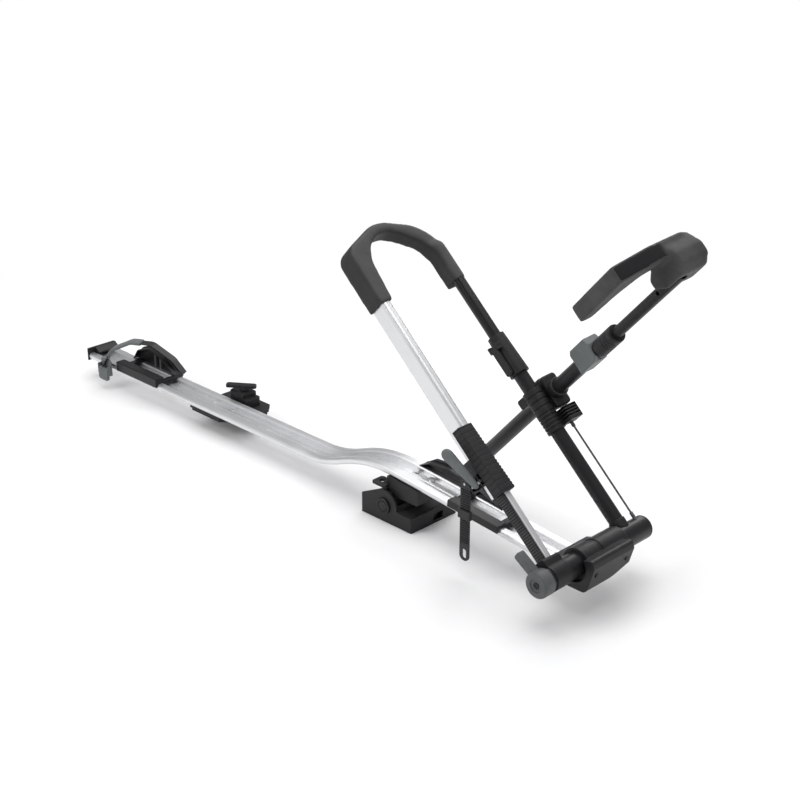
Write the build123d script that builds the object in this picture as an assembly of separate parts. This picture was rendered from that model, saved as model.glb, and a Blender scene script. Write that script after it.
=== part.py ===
from build123d import *
import math
import os

# Roof mounted upright bike carrier, in millimetres.
# X runs forward along the rail to the head, Y to the far side, Z up.
# The origin is the middle of the crossbar that the front foot clamps.

# Driving dimensions
RAIL_REAR_X = -1140.0
RAIL_FRONT_X = 396.0
RAIL_WIDTH = 76.0
RAIL_HEIGHT = 14.5
RAIL_TOP_Z = 16.0
AXLE_X = 425.0
AXLE_Z = 48.5
AXLE_LENGTH = 315.0
HOOP_LEAN_DEG = 42.45
HOOP_HEIGHT = 762.0
NEAR_LEG_Y = -91.5
FAR_LEG_Y = 101.0
ARM_Y = 139.0
ARM_S = 307.0
HOOK_Y = 45.0
HOOK_S = 291.0
HOOK_N = 436.0
FRONT_BAR_X = 0.0
REAR_BAR_X = -660.0
CROSSBAR_HEIGHT = 24.0
CROSSBAR_WIDTH = 54.0

# Fits
RUNNING_FIT = 0.05
BODY_GAP = 0.4

# Rail section and its S bend
SIDE_TUBE_WIDTH = 19.0
SIDE_TUBE_ROUND = 5.5
RAIL_WALL = 1.8
FLOOR_DEPTH = 10.5
FLOOR_THICK = 2.0
FLOOR_RIB_WIDTH = 5.0
FLOOR_RIB_HEIGHT = 1.6
BEND_START_X = -275.0
BEND_END_X = -130.0
BEND_RISE = 57.0
BEND_START_RADIUS = 250.0
BEND_END_RADIUS = 330.0
RAIL_FRONT_DROP = 48.0

# End cap of the rail
CAP_LENGTH = 20.0
CAP_LIP_RISE = 13.0
CAP_HOOD_LENGTH = 60.0
CAP_WALL = 2.6
CAP_PLUG_LENGTH = 18.0
CAP_ROUND = 4.0

# Head block
HEAD_NEAR_Y = -56.0
HEAD_FAR_Y = 62.0
HEAD_REAR_X = -60.0
HEAD_FRONT_X = 50.0
HEAD_TOP_Z = 27.0
HEAD_BOTTOM_Z = -44.0
HEAD_NOSE_TUCK = 16.0
HEAD_NOSE_ROUND = 14.0
HEAD_SHELL_RADIUS = 30.5
HEAD_DIP_RADIUS = 27.5
HEAD_DIP_START = -6.0
HEAD_ROUND = 3.0
HUMP_NEAR_Y = 8.0
HUMP_FAR_Y = 78.0
HUMP_RADIUS = 29.5
HEAD_TAPER_RISE = 22.0
ARCH_MOUTH_RADIUS = 31.0
ARCH_MOUTH_DEPTH = 12.0
BUSH_WALL = 2.0
BUSH_LENGTH = 34.0
HEAD_SCREW_RADIUS = 2.6
HEAD_SCREW_HEAD = 4.4
HEAD_SCREW_LENGTH = 14.0
HEAD_SCREW_SPAN = 88.0
HEAD_SCREW_SEAT_X = 44.0
HEAD_GROOVE_LENGTH = 34.0
HEAD_GROOVE_WIDTH = 3.0

# Cross tube, knob and hubs
CROSS_TUBE_RADIUS = 23.1
CROSS_TUBE_BORE = 19.6
FAR_CAP_LENGTH = 6.0
FAR_CAP_PLUG = 12.0
KNOB_LENGTH = 25.0
KNOB_RADIUS = 25.5
KNOB_ROUND = 5.0
KNOB_RECESS_RADIUS = 13.0
KNOB_RECESS_DEPTH = 1.6
KNOB_STEM_RADIUS = 12.0
KNOB_STEM_LENGTH = 22.0
KNOB_LEVER_REACH = 68.0
KNOB_LEVER_WIDTH = 17.0
KNOB_LEVER_THICK = 15.0
KNOB_LEVER_ANGLE = 147.0
LOCK_RADIUS = 6.5
LOCK_LENGTH = 14.0
KEY_SLOT_LENGTH = 7.0
KEY_SLOT_WIDTH = 1.6
KEY_SLOT_DEPTH = 4.0
HUB_NEAR_START = -124.0
HUB_NEAR_END = -82.0
HUB_RADIUS = 24.8
HUB_BLOCK_TOP = 34.0
COLLAR_RADIUS = 16.8
COLLAR_TOP = 34.0

# Legs of the hoop, in the plane of the hoop
NEAR_LEG_WIDTH = 21.0
NEAR_LEG_DEPTH = 43.5
NEAR_LEG_FRONT = 2.4
NEAR_LEG_ROUND = 7.0
NEAR_LEG_WALL = 2.0
NEAR_LEG_START = 178.0
NEAR_LEG_END = 648.0
INNER_BAR_WIDTH = 16.2
INNER_BAR_DEPTH = 25.0
INNER_BAR_FRONT = 0.0
INNER_BAR_END = 395.0
INNER_BAR_ROUND = 4.0
GUIDE_LENGTH = 16.0
FAR_TUBE_RADIUS = 14.9
FAR_TUBE_WALL = 1.7
FAR_TUBE_END = 440.0
FAR_TUBE_N = 2.5
UPPER_TUBE_RADIUS = 12.4
UPPER_TUBE_BORE = 10.4
UPPER_TUBE_START = 305.0
UPPER_TUBE_END = 668.0
GROOVE_DEPTH = 1.2

# Rubber cover of the hoop and its hidden core
COVER_FRONT = 7.0
COVER_BACK_NEAR = -44.0
COVER_BACK_FAR = -26.0
COVER_NEAR_END = 594.0
COVER_FAR_END = 588.0
COVER_NEAR_OUT = -108.0
COVER_NEAR_IN = -76.0
COVER_FAR_OUT = 118.0
COVER_FAR_IN = 88.5
COVER_NEAR_SHOULDER = 720.0
COVER_APEX_Y = -8.0
COVER_FAR_SHOULDER = 655.0
COVER_KNEE_Y = 76.0
COVER_KNEE_S = 732.0
COVER_CORNER_Y = 109.0
COVER_CORNER_S = 699.0
COVER_BAND = 28.0
COVER_WALL = 2.8
COVER_SHEATH_TOP = 684.0
COVER_ROUND = 4.0
COVER_SHOULDER_ROUND = 30.0
COVER_TOP_ROUND = 78.0
COVER_INNER_ROUND = 40.0
CORE_MARGIN = 9.0
CORE_FRONT = -3.0
CORE_BACK = -22.0

# Sleeve clamp on the far leg
SLEEVE_START = 368.0
SLEEVE_END = 456.0
SLEEVE_FLAT_Y = 118.6
SLEEVE_LOW_RADIUS = 20.5
SLEEVE_TOP_RADIUS = 17.6
SLEEVE_SLOT = 2.0
SLEEVE_EAR_REACH = 10.0
SLEEVE_EAR_LENGTH = 14.0
SLEEVE_PIN_S = 434.0
SLEEVE_PIN_RADIUS = 2.5
SLEEVE_LEVER_LENGTH = 62.0
SLEEVE_LEVER_WIDTH = 17.0
SLEEVE_LEVER_THICK = 5.0

# Arm block on the far leg
BLOCK_START = 276.0
BLOCK_END = 328.0
BLOCK_RADIUS = 19.6
BLOCK_RIB_COUNT = 3
BLOCK_RIB_DEPTH = 1.4
BLOCK_RIB_WIDTH = 3.0
RING_START = 236.0
RING_END = 275.0
RING_RIB_COUNT = 4
SWIVEL_FIT = 0.1
STUD_RADIUS = 8.0
STUD_DEPTH = 1.5
ANCHOR_START = 238.0
ANCHOR_END = 268.0
ANCHOR_IN = 112.0
ANCHOR_OUT = 150.0
ANCHOR_FRONT = 40.0
ANCHOR_BACK = 9.0
ANCHOR_SLOTS = 4
ANCHOR_SLOT_WIDTH = 2.8
ANCHOR_SLOT_DEPTH = 22.0
CABLE_Y = 135.0
CABLE_N = 14.0
CABLE_RADIUS = 2.0
FERRULE_RADIUS = 3.6
FERRULE_LENGTH = 10.0

# Ladder strap and ratchet buckle on the near leg
STRAP_THICK = 2.6
STRAP_WIDTH = 23.0
STRAP_FRONT = 1.5
STRAP_FACE_Y = -102.9
STRAP_START = 30.0
STRAP_END = 250.0
STRAP_PLAIN_END = 100.0
TOOTH_PITCH = 5.0
TOOTH_LENGTH = 2.6
TOOTH_HEIGHT = 1.2
BUCKLE_START = 174.0
BUCKLE_END = 318.0
BUCKLE_OUT = -114.0
BUCKLE_IN = -79.6
BUCKLE_LOW_FRONT = 12.0
BUCKLE_TOP_FRONT = 4.5
BUCKLE_BACK = -17.0
BUCKLE_WALL = 2.4
BUCKLE_RIB_PITCH = 7.0
BUCKLE_RIB_DEPTH = 1.4
BUCKLE_RIB_WIDTH = 2.4
FRAME_BACK = -74.0
FRAME_START = 206.0
FRAME_END = 262.0
FRAME_THICK = 2.4
FRAME_WEB_START = 225.0
FRAME_WEB_END = 230.0
LEVER_PIN_S = 216.0
LEVER_PIN_RADIUS = 3.0
LEVER_LENGTH = 88.0
LEVER_LEAN_DEG = 14.0
LEVER_WIDTH = 28.0
LEVER_THICK = 8.0
LEVER_N = -36.0
LEVER_PIN_Y = -114.0
LEVER_OUT = -121.0
TAIL_WIDTH = 24.0
TAIL_Y = -106.2
TAIL_PIVOT_S = 232.0
TAIL_PIVOT_N = -68.0
TAIL_PIN_RADIUS = 2.5
TAIL_LENGTH = 162.0
TAIL_HOLE_LENGTH = 20.0
TAIL_HOLE_WIDTH = 10.0
KEEPER_DROP = 54.0
KEEPER_HEIGHT = 18.0
KEEPER_WALL = 2.4

# Hook arm
ARM_RADIUS = 15.1
ARM_BORE = 11.2
ARM_LOW_T = -296.0
ARM_HIGH_T = 284.0
CARRIER_HALF = 17.0
CARRIER_LOW_T = -22.0
CARRIER_HIGH_T = 12.0
CARRIER_TOP_Z = -36.0
CARRIER_BOTTOM_Z = 29.0
CARRIER_ROUND = 7.0
FLANGE_END_T = 30.0
FLANGE_TOP_Z = -34.0
FLANGE_BOTTOM_Z = 33.5
COLLAR_END_T = 48.0
COLLAR_GROW = 4.5
HOUSING_RADIUS = 17.8
HOUSING_LOW_T = 222.0
HOUSING_RING_LENGTH = 8.0
HOUSING_SLOT_WIDTH = 2.0
HOUSING_SLOT_COUNT = 3
TRIGGER_LOW_T = 150.0
TRIGGER_HIGH_T = 216.0
TRIGGER_TOP_Z = -31.0
TRIGGER_BOTTOM_Z = 16.5
TRIGGER_NEAR_X = -18.0
TRIGGER_FAR_X = 16.0
TRIGGER_NOSE = 14.0
ROD_LOW_T = 92.0
ROD_HIGH_T = 512.0
ROD_HOLE_T = 447.0
ROD_RADIUS = 10.7
ROD_HOLE_RADIUS = 4.0
ROD_WALL = 2.0

# Hook pad and its hidden core
PAD_NEAR_IN = -84.0
PAD_NEAR_X = -114.0
PAD_TIP_T = 358.0
PAD_TOP_Z = -61.0
PAD_BAND_Z = -29.0
PAD_SHOULDER_T = 508.0
PAD_APEX_X = -30.0
PAD_CREST_T = 534.0
PAD_FAR_X = 47.0
PAD_INNER_T = 500.0
PAD_BOSS_X = -17.0
PAD_FINGER_T = 451.0
PAD_FINGER_Z = -4.0
PAD_BOSS_Z = 7.5
PAD_FAR_END_T = 547.0
PAD_THICK = 30.0
PAD_ROUND = 6.0

# Front foot
FOOT_BRACKET_REAR = -66.0
FOOT_BRACKET_FRONT = 22.0
FOOT_BRACKET_HALF = 42.0
FOOT_BRACKET_BOTTOM = 13.0
FOOT_NEAR_Y = -54.0
FOOT_FAR_Y = 79.0
TRAY_REAR_X = -128.0
TRAY_FRONT_X = 15.0
TRAY_FLOOR_Z = -46.0
TRAY_RIM_Z = -13.0
TRAY_CHEEK_X = -15.0
TRAY_REAR_TOP_Z = -2.0
TRAY_WALL = 4.0
HUB_X = -63.0
HUB_Z = -10.0
CHEEK_RADIUS = 36.0
CHEEK_LEAN_DEG = 60.0
HUB_DISC_RADIUS = 17.5
HUB_DISC_THICK = 4.0
HUB_RING_RADIUS = 11.0
HUB_RING_DEPTH = 1.5
HUB_PIN_RADIUS = 6.0
KNUCKLE_RADIUS = 13.0
TAB_THICK = 5.0
TAB_START = -98.0
TAB_END = -65.0
TAB_NEAR_Y = -56.0
TAB_FAR_Y = -24.0
TAB_Z = 31.0
TAB_HOLE_RADIUS = 6.0
FOOT_BOLT_RADIUS = 4.0
FOOT_BOLT_HEAD = 7.0
JAW_SCREW_X = -3.0
JAW_SCREW_Y = 24.0
JAW_SCREW_RADIUS = 4.0
JAW_KNOB_RADIUS = 12.0
JAW_KNOB_HEIGHT = 9.0
JAW_KNOB_LOBES = 8
JAW_PAD_THICK = 9.0
JAW_WINDOW_HALF = 14.0

# Rear foot
BASE_NEAR_Y = -36.0
BASE_FAR_Y = 98.0
BASE_HALF_LENGTH = 68.0
BASE_FRONT = 82.0
BASE_THICK = 5.0
BASE_CORNER = 22.0
REAR_PAD_THICK = 7.0
TOWER_X = 12.0
TOWER_Y = 64.0
TOWER_LENGTH = 66.0
TOWER_WIDTH = 40.0
TOWER_TOP_Z = 33.0
TOWER_ROUND = 6.0
T_STEM_RADIUS = 5.0
T_THREAD_RADIUS = 4.0
T_BOLT_REACH = 14.0
T_LENGTH = 72.0
T_SHIFT = -8.0
T_WIDTH = 17.0
T_HEIGHT = 8.0
T_GAP_Z = 8.0
T_TURN_DEG = 36.0
BASE_SCREW_RADIUS = 2.5
BASE_SCREW_HEAD = 4.5

# Wheel cradles
CRADLE_WALL = 4.5
CHEEK_THICK = 9.0
FRONT_CLAMP_REAR = 103.0
FRONT_CLAMP_FRONT = 234.0
FRONT_CHEEK_REAR = -36.0
FRONT_CHEEK_FRONT = 190.0
FRONT_CHEEK_RISE = 31.0
REAR_CRADLE_REAR = -1012.0
REAR_CRADLE_FRONT = -852.0
REAR_CHEEK_REAR = -1030.0
REAR_CHEEK_FRONT = -854.0
REAR_CHEEK_RISE = 50.0
FRONT_PLATE_RISE = 7.0
REAR_PLATE_RISE = 15.0
CRADLE_WINDOW_LENGTH = 62.0
CRADLE_RIB_COUNT = 2
CRADLE_RIB_WIDTH = 5.0
CRADLE_RIB_PITCH = 21.0

# Rear wheel strap
WHEEL_STRAP_WIDTH = 24.0
WHEEL_STRAP_THICK = 2.4
WHEEL_STRAP_RISE = 68.0
WHEEL_STRAP_ROUND = 26.0
WHEEL_STRAP_DROP = 3.0
WHEEL_STRAP_START_X = -1053.0
WHEEL_STRAP_START_Y = -50.0
WHEEL_STRAP_END_X = -863.0
WHEEL_STRAP_END_Y = 51.0
STRAP_PAD_THICK = 8.0
REAR_BUCKLE_X = -1046.0
REAR_BUCKLE_OUT = -58.0
REAR_BUCKLE_LOW = -8.0
REAR_BUCKLE_HIGH = 32.0
REAR_BUCKLE_LENGTH = 42.0
REAR_BUCKLE_WIDTH = 26.0
REAR_BUCKLE_THICK = 11.0
REAR_LEVER_LENGTH = 26.0
REAR_LEVER_THICK = 6.0
REAR_LEVER_PIN_RADIUS = 2.5

# Values worked out from the driving dimensions
LEAN = math.radians(HOOP_LEAN_DEG)
UPRIGHT_DEG = 90.0
CHEEK_LEAN = math.radians(CHEEK_LEAN_DEG)
RAIL_BOTTOM_Z = RAIL_TOP_Z - RAIL_HEIGHT
RAIL_HALF = RAIL_WIDTH / 2
TRAY_HALF = RAIL_HALF - SIDE_TUBE_WIDTH
BEND_TOP_Z = RAIL_TOP_Z + BEND_RISE
FRONT_SLOPE = RAIL_FRONT_DROP / (AXLE_X - BEND_END_X)
HOOP = Plane(
    origin=(AXLE_X, 0, AXLE_Z),
    x_dir=(0, 1, 0),
    z_dir=(math.sin(LEAN), 0, math.cos(LEAN)),
)


def arm_plane():
    """Plane of the hook arm: Y runs along the arm, Z down the hoop, X to the far side."""
    pivot = HOOP.from_local_coords((ARM_Y, ARM_S, 0))
    grip = HOOP.from_local_coords((HOOK_Y, HOOK_S, HOOK_N))
    axis = (grip - pivot).normalized()
    down = Vector(math.cos(LEAN), 0, -math.sin(LEAN))
    down = (down - axis * down.dot(axis)).normalized()
    return Plane(origin=pivot, x_dir=axis.cross(down), z_dir=down)


ARM = arm_plane()


def rail_top_at(x):
    """Height of the rail's top on its straight front run."""
    return BEND_TOP_Z - FRONT_SLOPE * (x - BEND_END_X)


FRONT_PLANE = Plane(
    origin=(BEND_END_X, 0, BEND_TOP_Z),
    x_dir=(math.cos(math.atan(FRONT_SLOPE)), 0, -math.sin(math.atan(FRONT_SLOPE))),
    z_dir=(math.sin(math.atan(FRONT_SLOPE)), 0, math.cos(math.atan(FRONT_SLOPE))),
)


def brick(x0, x1, y0, y1, z0, z1):
    """A box between two corners."""
    return Pos((x0 + x1) / 2, (y0 + y1) / 2, (z0 + z1) / 2) * Box(x1 - x0, y1 - y0, z1 - z0)


def across(sketch, y0, y1):
    """Extrudes a sketch of (x, z) between two places along Y."""
    return extrude(Plane((0, y1, 0), x_dir=(1, 0, 0), z_dir=(0, -1, 0)) * sketch, y1 - y0)


def along(sketch, x0, x1):
    """Extrudes a sketch of (y, z) between two places along X."""
    return extrude(Plane((x0, 0, 0), x_dir=(0, 1, 0), z_dir=(1, 0, 0)) * sketch, x1 - x0)


def upward(sketch, z0, z1):
    """Extrudes a sketch of (x, y) between two heights."""
    return extrude(Plane((0, 0, z0)) * sketch, z1 - z0)


def rod_y(x, z, radius, y0, y1):
    """A round bar along Y."""
    return across(Pos(x, z) * Circle(radius), y0, y1)


def rod_x(y, z, radius, x0, x1):
    """A round bar along X."""
    return along(Pos(y, z) * Circle(radius), x0, x1)


def rod_z(x, y, radius, z0, z1):
    """A round bar along Z."""
    return upward(Pos(x, y) * Circle(radius), z0, z1)


def rounded(x0, x1, y0, y1, radius):
    """A rectangle with round corners between two corners."""
    return Pos((x0 + x1) / 2, (y0 + y1) / 2) * RectangleRounded(x1 - x0, y1 - y0, radius)


def polygon(*points):
    """A face bounded by straight lines through the points."""
    return make_face(Polyline(*points, close=True))


def soften(face, points, radius):
    """Rounds the corners of a face that lie nearest to the points."""
    corners = [face.vertices().sort_by_distance(Vector(*point, 0))[0] for point in points]
    return fillet(corners, radius)


def in_hoop(shape):
    """Places a shape that was drawn in the plane of the hoop."""
    return HOOP.location * shape


def in_arm(shape):
    """Places a shape that was drawn along the hook arm."""
    return ARM.location * shape


def on_front(shape):
    """Places a shape that was drawn on the sloping front run of the rail."""
    return FRONT_PLANE.location * shape


def rail_path():
    """Centre line of the rail at the height of its top."""
    corners = [
        (RAIL_REAR_X, 0, RAIL_TOP_Z),
        (BEND_START_X, 0, RAIL_TOP_Z),
        (BEND_END_X, 0, BEND_TOP_Z),
        (RAIL_FRONT_X, 0, rail_top_at(RAIL_FRONT_X)),
    ]
    return FilletPolyline(*corners, radius=[BEND_START_RADIUS, BEND_END_RADIUS])


def rail_section():
    """Section of the rail: two round cornered side tubes joined by the tray floor."""
    side = SIDE_TUBE_WIDTH / 2
    outer = RectangleRounded(SIDE_TUBE_WIDTH, RAIL_HEIGHT, SIDE_TUBE_ROUND)
    bore = RectangleRounded(
        SIDE_TUBE_WIDTH - 2 * RAIL_WALL, RAIL_HEIGHT - 2 * RAIL_WALL, SIDE_TUBE_ROUND - RAIL_WALL
    )
    places = [Pos(sign * (RAIL_HALF - side), -RAIL_HEIGHT / 2) for sign in (-1, 1)]
    floor_z = -FLOOR_DEPTH - FLOOR_THICK / 2
    floor = Pos(0, floor_z) * Rectangle(2 * TRAY_HALF + SIDE_TUBE_WIDTH, FLOOR_THICK)
    rib = Pos(0, -FLOOR_DEPTH + FLOOR_RIB_HEIGHT / 2) * Rectangle(FLOOR_RIB_WIDTH, FLOOR_RIB_HEIGHT)
    solid = floor + rib
    for place in places:
        solid += place * outer
    for place in places:
        solid -= place * bore
    return solid


def rail():
    """The rail: one extrusion bent up over the front foot."""
    start = Plane(origin=(RAIL_REAR_X, 0, RAIL_TOP_Z), x_dir=(0, 1, 0), z_dir=(1, 0, 0))
    body = sweep(start * rail_section(), path=rail_path())
    for x, y in foot_bolt_places():
        body -= rod_z(x, y, FOOT_BOLT_RADIUS, 0, BEND_TOP_Z)
    for x, y in base_screw_places():
        body -= rod_z(x, y, BASE_SCREW_RADIUS, 0, BEND_TOP_Z)
    return body


def rail_end_cap():
    """Black cap over the end of the rail with a raised lip and plugs in the side tubes."""
    half = RAIL_HALF + CAP_WALL
    low = RAIL_BOTTOM_Z - CAP_WALL
    top = RAIL_TOP_Z + CAP_WALL
    side = polygon(
        (RAIL_REAR_X - CAP_WALL, low),
        (RAIL_REAR_X + CAP_LENGTH, low),
        (RAIL_REAR_X + CAP_LENGTH, top),
        (RAIL_REAR_X + CAP_LENGTH / 4, RAIL_TOP_Z + CAP_LIP_RISE),
        (RAIL_REAR_X - CAP_WALL, RAIL_TOP_Z + CAP_LIP_RISE),
    )
    cap = across(side, -half, half)
    cap = fillet(cap.edges().filter_by(Axis.Z).group_by(Axis.X)[0], CAP_ROUND)
    cap -= brick(
        RAIL_REAR_X, RAIL_REAR_X + 2 * CAP_LENGTH, -RAIL_HALF, RAIL_HALF, RAIL_BOTTOM_Z, RAIL_TOP_Z
    )
    cap -= brick(
        RAIL_REAR_X + CAP_WALL,
        RAIL_REAR_X + 2 * CAP_LENGTH,
        -half,
        -TRAY_HALF,
        low,
        RAIL_TOP_Z + 2 * CAP_LIP_RISE,
    )
    hood = brick(
        RAIL_REAR_X, RAIL_REAR_X + CAP_HOOD_LENGTH, RAIL_HALF, half, low, RAIL_TOP_Z - CAP_ROUND
    )
    cap += hood
    for sign in (-1, 1):
        middle = sign * (RAIL_HALF - SIDE_TUBE_WIDTH / 2)
        reach = SIDE_TUBE_WIDTH / 2 - RAIL_WALL
        plug = along(
            rounded(
                middle - reach,
                middle + reach,
                RAIL_BOTTOM_Z + RAIL_WALL,
                RAIL_TOP_Z - RAIL_WALL,
                SIDE_TUBE_ROUND - RAIL_WALL,
            ),
            RAIL_REAR_X,
            RAIL_REAR_X + CAP_PLUG_LENGTH,
        )
        cap += plug
    return cap


def rail_envelope(margin):
    """Solid outer shape of the rail's front run, grown by a margin, in its own plane."""
    length = (RAIL_FRONT_X - BEND_END_X) / math.cos(math.atan(FRONT_SLOPE))
    half = RAIL_HALF + margin
    return brick(0, length, -half, half, -RAIL_HEIGHT - margin, margin)


def head_profile():
    """Side view of the head block, with the axle at (0, 0)."""
    points = [
        (HEAD_REAR_X, HEAD_BOTTOM_Z + HEAD_NOSE_TUCK),
        (HEAD_REAR_X + HEAD_NOSE_TUCK, HEAD_BOTTOM_Z),
        (HEAD_FRONT_X - HEAD_NOSE_TUCK, HEAD_BOTTOM_Z),
        (HEAD_FRONT_X, HEAD_TOP_Z - HEAD_NOSE_TUCK),
        (HEAD_FRONT_X - HEAD_NOSE_TUCK / 4, HEAD_TOP_Z),
        (HEAD_REAR_X, -HEAD_NOSE_TUCK / 2),
    ]
    face = polygon(*points)
    face = soften(face, points[1:3], HEAD_NOSE_ROUND)
    return soften(face, points[3:5], HEAD_NOSE_ROUND / 2)


def head_block():
    """Head casting that holds the rail's end below and the cross tube above."""
    at_axle = Pos(AXLE_X, AXLE_Z)
    body = across(at_axle * head_profile(), HEAD_NEAR_Y, HEAD_FAR_Y)
    body += rod_y(AXLE_X, AXLE_Z, HEAD_SHELL_RADIUS, HEAD_NEAR_Y, HEAD_DIP_START)
    body += rod_y(AXLE_X, AXLE_Z, HEAD_DIP_RADIUS, HEAD_DIP_START, HUMP_NEAR_Y)
    hump = rod_y(AXLE_X, AXLE_Z, HUMP_RADIUS, HUMP_NEAR_Y, HUMP_FAR_Y)
    body += fillet(hump.edges().group_by(Axis.Y)[-1], HEAD_ROUND)
    taper = polygon(
        (0, AXLE_Z + HEAD_BOTTOM_Z),
        (2 * HEAD_FAR_Y, AXLE_Z + HEAD_BOTTOM_Z),
        (2 * HEAD_FAR_Y, AXLE_Z + HEAD_BOTTOM_Z + 2 * HEAD_TAPER_RISE),
    )
    body -= along(taper, AXLE_X + HEAD_REAR_X / 2, AXLE_X + 2 * HEAD_FRONT_X)
    bore = CROSS_TUBE_RADIUS + BUSH_WALL
    body -= rod_y(AXLE_X, AXLE_Z, bore, HEAD_NEAR_Y, HUMP_FAR_Y)
    body -= rod_y(AXLE_X, AXLE_Z, ARCH_MOUTH_RADIUS, HEAD_NEAR_Y, HEAD_NEAR_Y + ARCH_MOUTH_DEPTH)
    body -= on_front(rail_envelope(0))
    for y, z in head_screw_places():
        body -= rod_x(y, z, HEAD_SCREW_HEAD + BODY_GAP, AXLE_X + HEAD_SCREW_SEAT_X, AXLE_X + 2 * HEAD_FRONT_X)
        body -= rod_x(y, z, HEAD_SCREW_RADIUS, AXLE_X, AXLE_X + HEAD_FRONT_X)
    groove_y = (HEAD_NEAR_Y + HEAD_FAR_Y) / 2
    groove_z = AXLE_Z + HEAD_BOTTOM_Z / 2
    body -= brick(
        AXLE_X + HEAD_SCREW_SEAT_X,
        AXLE_X + 2 * HEAD_FRONT_X,
        groove_y - HEAD_GROOVE_LENGTH / 2,
        groove_y + HEAD_GROOVE_LENGTH / 2,
        groove_z,
        groove_z + HEAD_GROOVE_WIDTH,
    )
    return body


def head_bushings():
    """Two plastic bushings that carry the cross tube inside the head."""
    outer = CROSS_TUBE_RADIUS + BUSH_WALL
    inner = CROSS_TUBE_RADIUS + RUNNING_FIT
    rings = []
    for start in (HEAD_NEAR_Y + ARCH_MOUTH_DEPTH, HUMP_FAR_Y - BUSH_LENGTH):
        ring = rod_y(AXLE_X, AXLE_Z, outer, start, start + BUSH_LENGTH)
        rings.append(ring - rod_y(AXLE_X, AXLE_Z, inner, start, start + BUSH_LENGTH))
    return Compound(children=rings)


def head_screws():
    """Two screws in the front face of the head."""
    screws = []
    seat = AXLE_X + HEAD_SCREW_SEAT_X
    for y, z in head_screw_places():
        shank = rod_x(y, z, HEAD_SCREW_RADIUS, seat - HEAD_SCREW_LENGTH, seat)
        screws.append(shank + rod_x(y, z, HEAD_SCREW_HEAD, seat, seat + HEAD_SCREW_RADIUS))
    return screws


def cross_tube():
    """Tube across the head that both legs stand on."""
    half = AXLE_LENGTH / 2
    tube = rod_x(0, 0, CROSS_TUBE_RADIUS, -half + KNOB_LENGTH + BODY_GAP, half - FAR_CAP_LENGTH)
    return tube - rod_x(0, 0, CROSS_TUBE_BORE, -half, half)


def cross_tube_cap():
    """Rounded plug in the far end of the cross tube."""
    half = AXLE_LENGTH / 2
    disc = rod_x(0, 0, CROSS_TUBE_RADIUS, half - FAR_CAP_LENGTH, half)
    disc = fillet(disc.edges().group_by(Axis.X)[-1], FAR_CAP_LENGTH / 2)
    return disc + rod_x(0, 0, CROSS_TUBE_BORE, half - FAR_CAP_LENGTH - FAR_CAP_PLUG, half - FAR_CAP_LENGTH)


def near_hub():
    """Moulded foot that joins the inner bar of the near leg to the cross tube."""
    ring = rod_x(0, 0, HUB_RADIUS, HUB_NEAR_START, HUB_NEAR_END)
    post = brick(
        HUB_NEAR_START, HUB_NEAR_END, 0, HUB_BLOCK_TOP, -INNER_BAR_DEPTH, HUB_RADIUS - INNER_BAR_ROUND * 2
    )
    post = chamfer(post.edges().filter_by(Axis.X).group_by(Axis.Y)[-1], INNER_BAR_ROUND)
    body = (ring + post) - rod_x(0, 0, CROSS_TUBE_RADIUS, HUB_NEAR_START, HUB_NEAR_END)
    section = bar_profile(INNER_BAR_WIDTH, INNER_BAR_DEPTH, INNER_BAR_FRONT, INNER_BAR_ROUND, NEAR_LEG_Y)
    body -= across(section, 0, INNER_BAR_END)
    strap_back = STRAP_FRONT - STRAP_WIDTH
    return body - brick(
        STRAP_FACE_Y - 2 * STRAP_THICK, STRAP_FACE_Y, STRAP_START, STRAP_END, strap_back, STRAP_FRONT
    )


def bar_profile(width, depth, front, round_radius, middle):
    """Section of a leg in the plane square to it."""
    return rounded(middle - width / 2, middle + width / 2, front - depth, front, round_radius)


def inner_bar():
    """Bar on the cross tube that the near leg slides over."""
    section = bar_profile(INNER_BAR_WIDTH, INNER_BAR_DEPTH, INNER_BAR_FRONT, INNER_BAR_ROUND, NEAR_LEG_Y)
    bar = across(section, 0, INNER_BAR_END)
    return bar - rod_x(0, 0, CROSS_TUBE_RADIUS, 2 * NEAR_LEG_Y, 0)


def near_leg():
    """Wide aluminium leg, hollow, that slides over the inner bar."""
    section = bar_profile(NEAR_LEG_WIDTH, NEAR_LEG_DEPTH, NEAR_LEG_FRONT, NEAR_LEG_ROUND, NEAR_LEG_Y)
    bore = bar_profile(
        NEAR_LEG_WIDTH - 2 * NEAR_LEG_WALL,
        NEAR_LEG_DEPTH - 2 * NEAR_LEG_WALL,
        NEAR_LEG_FRONT - NEAR_LEG_WALL,
        NEAR_LEG_ROUND - NEAR_LEG_WALL,
        NEAR_LEG_Y,
    )
    return across(section - bore, NEAR_LEG_START, NEAR_LEG_END)


def leg_guide():
    """Plastic guide in the mouth of the near leg that the inner bar runs in."""
    outer = bar_profile(
        NEAR_LEG_WIDTH - 2 * NEAR_LEG_WALL,
        NEAR_LEG_DEPTH - 2 * NEAR_LEG_WALL,
        NEAR_LEG_FRONT - NEAR_LEG_WALL,
        NEAR_LEG_ROUND - NEAR_LEG_WALL,
        NEAR_LEG_Y,
    )
    inner = bar_profile(
        INNER_BAR_WIDTH + 2 * RUNNING_FIT,
        INNER_BAR_DEPTH + 2 * RUNNING_FIT,
        INNER_BAR_FRONT + RUNNING_FIT,
        INNER_BAR_ROUND + RUNNING_FIT,
        NEAR_LEG_Y,
    )
    return across(outer - inner, NEAR_LEG_START, NEAR_LEG_START + GUIDE_LENGTH)


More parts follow.
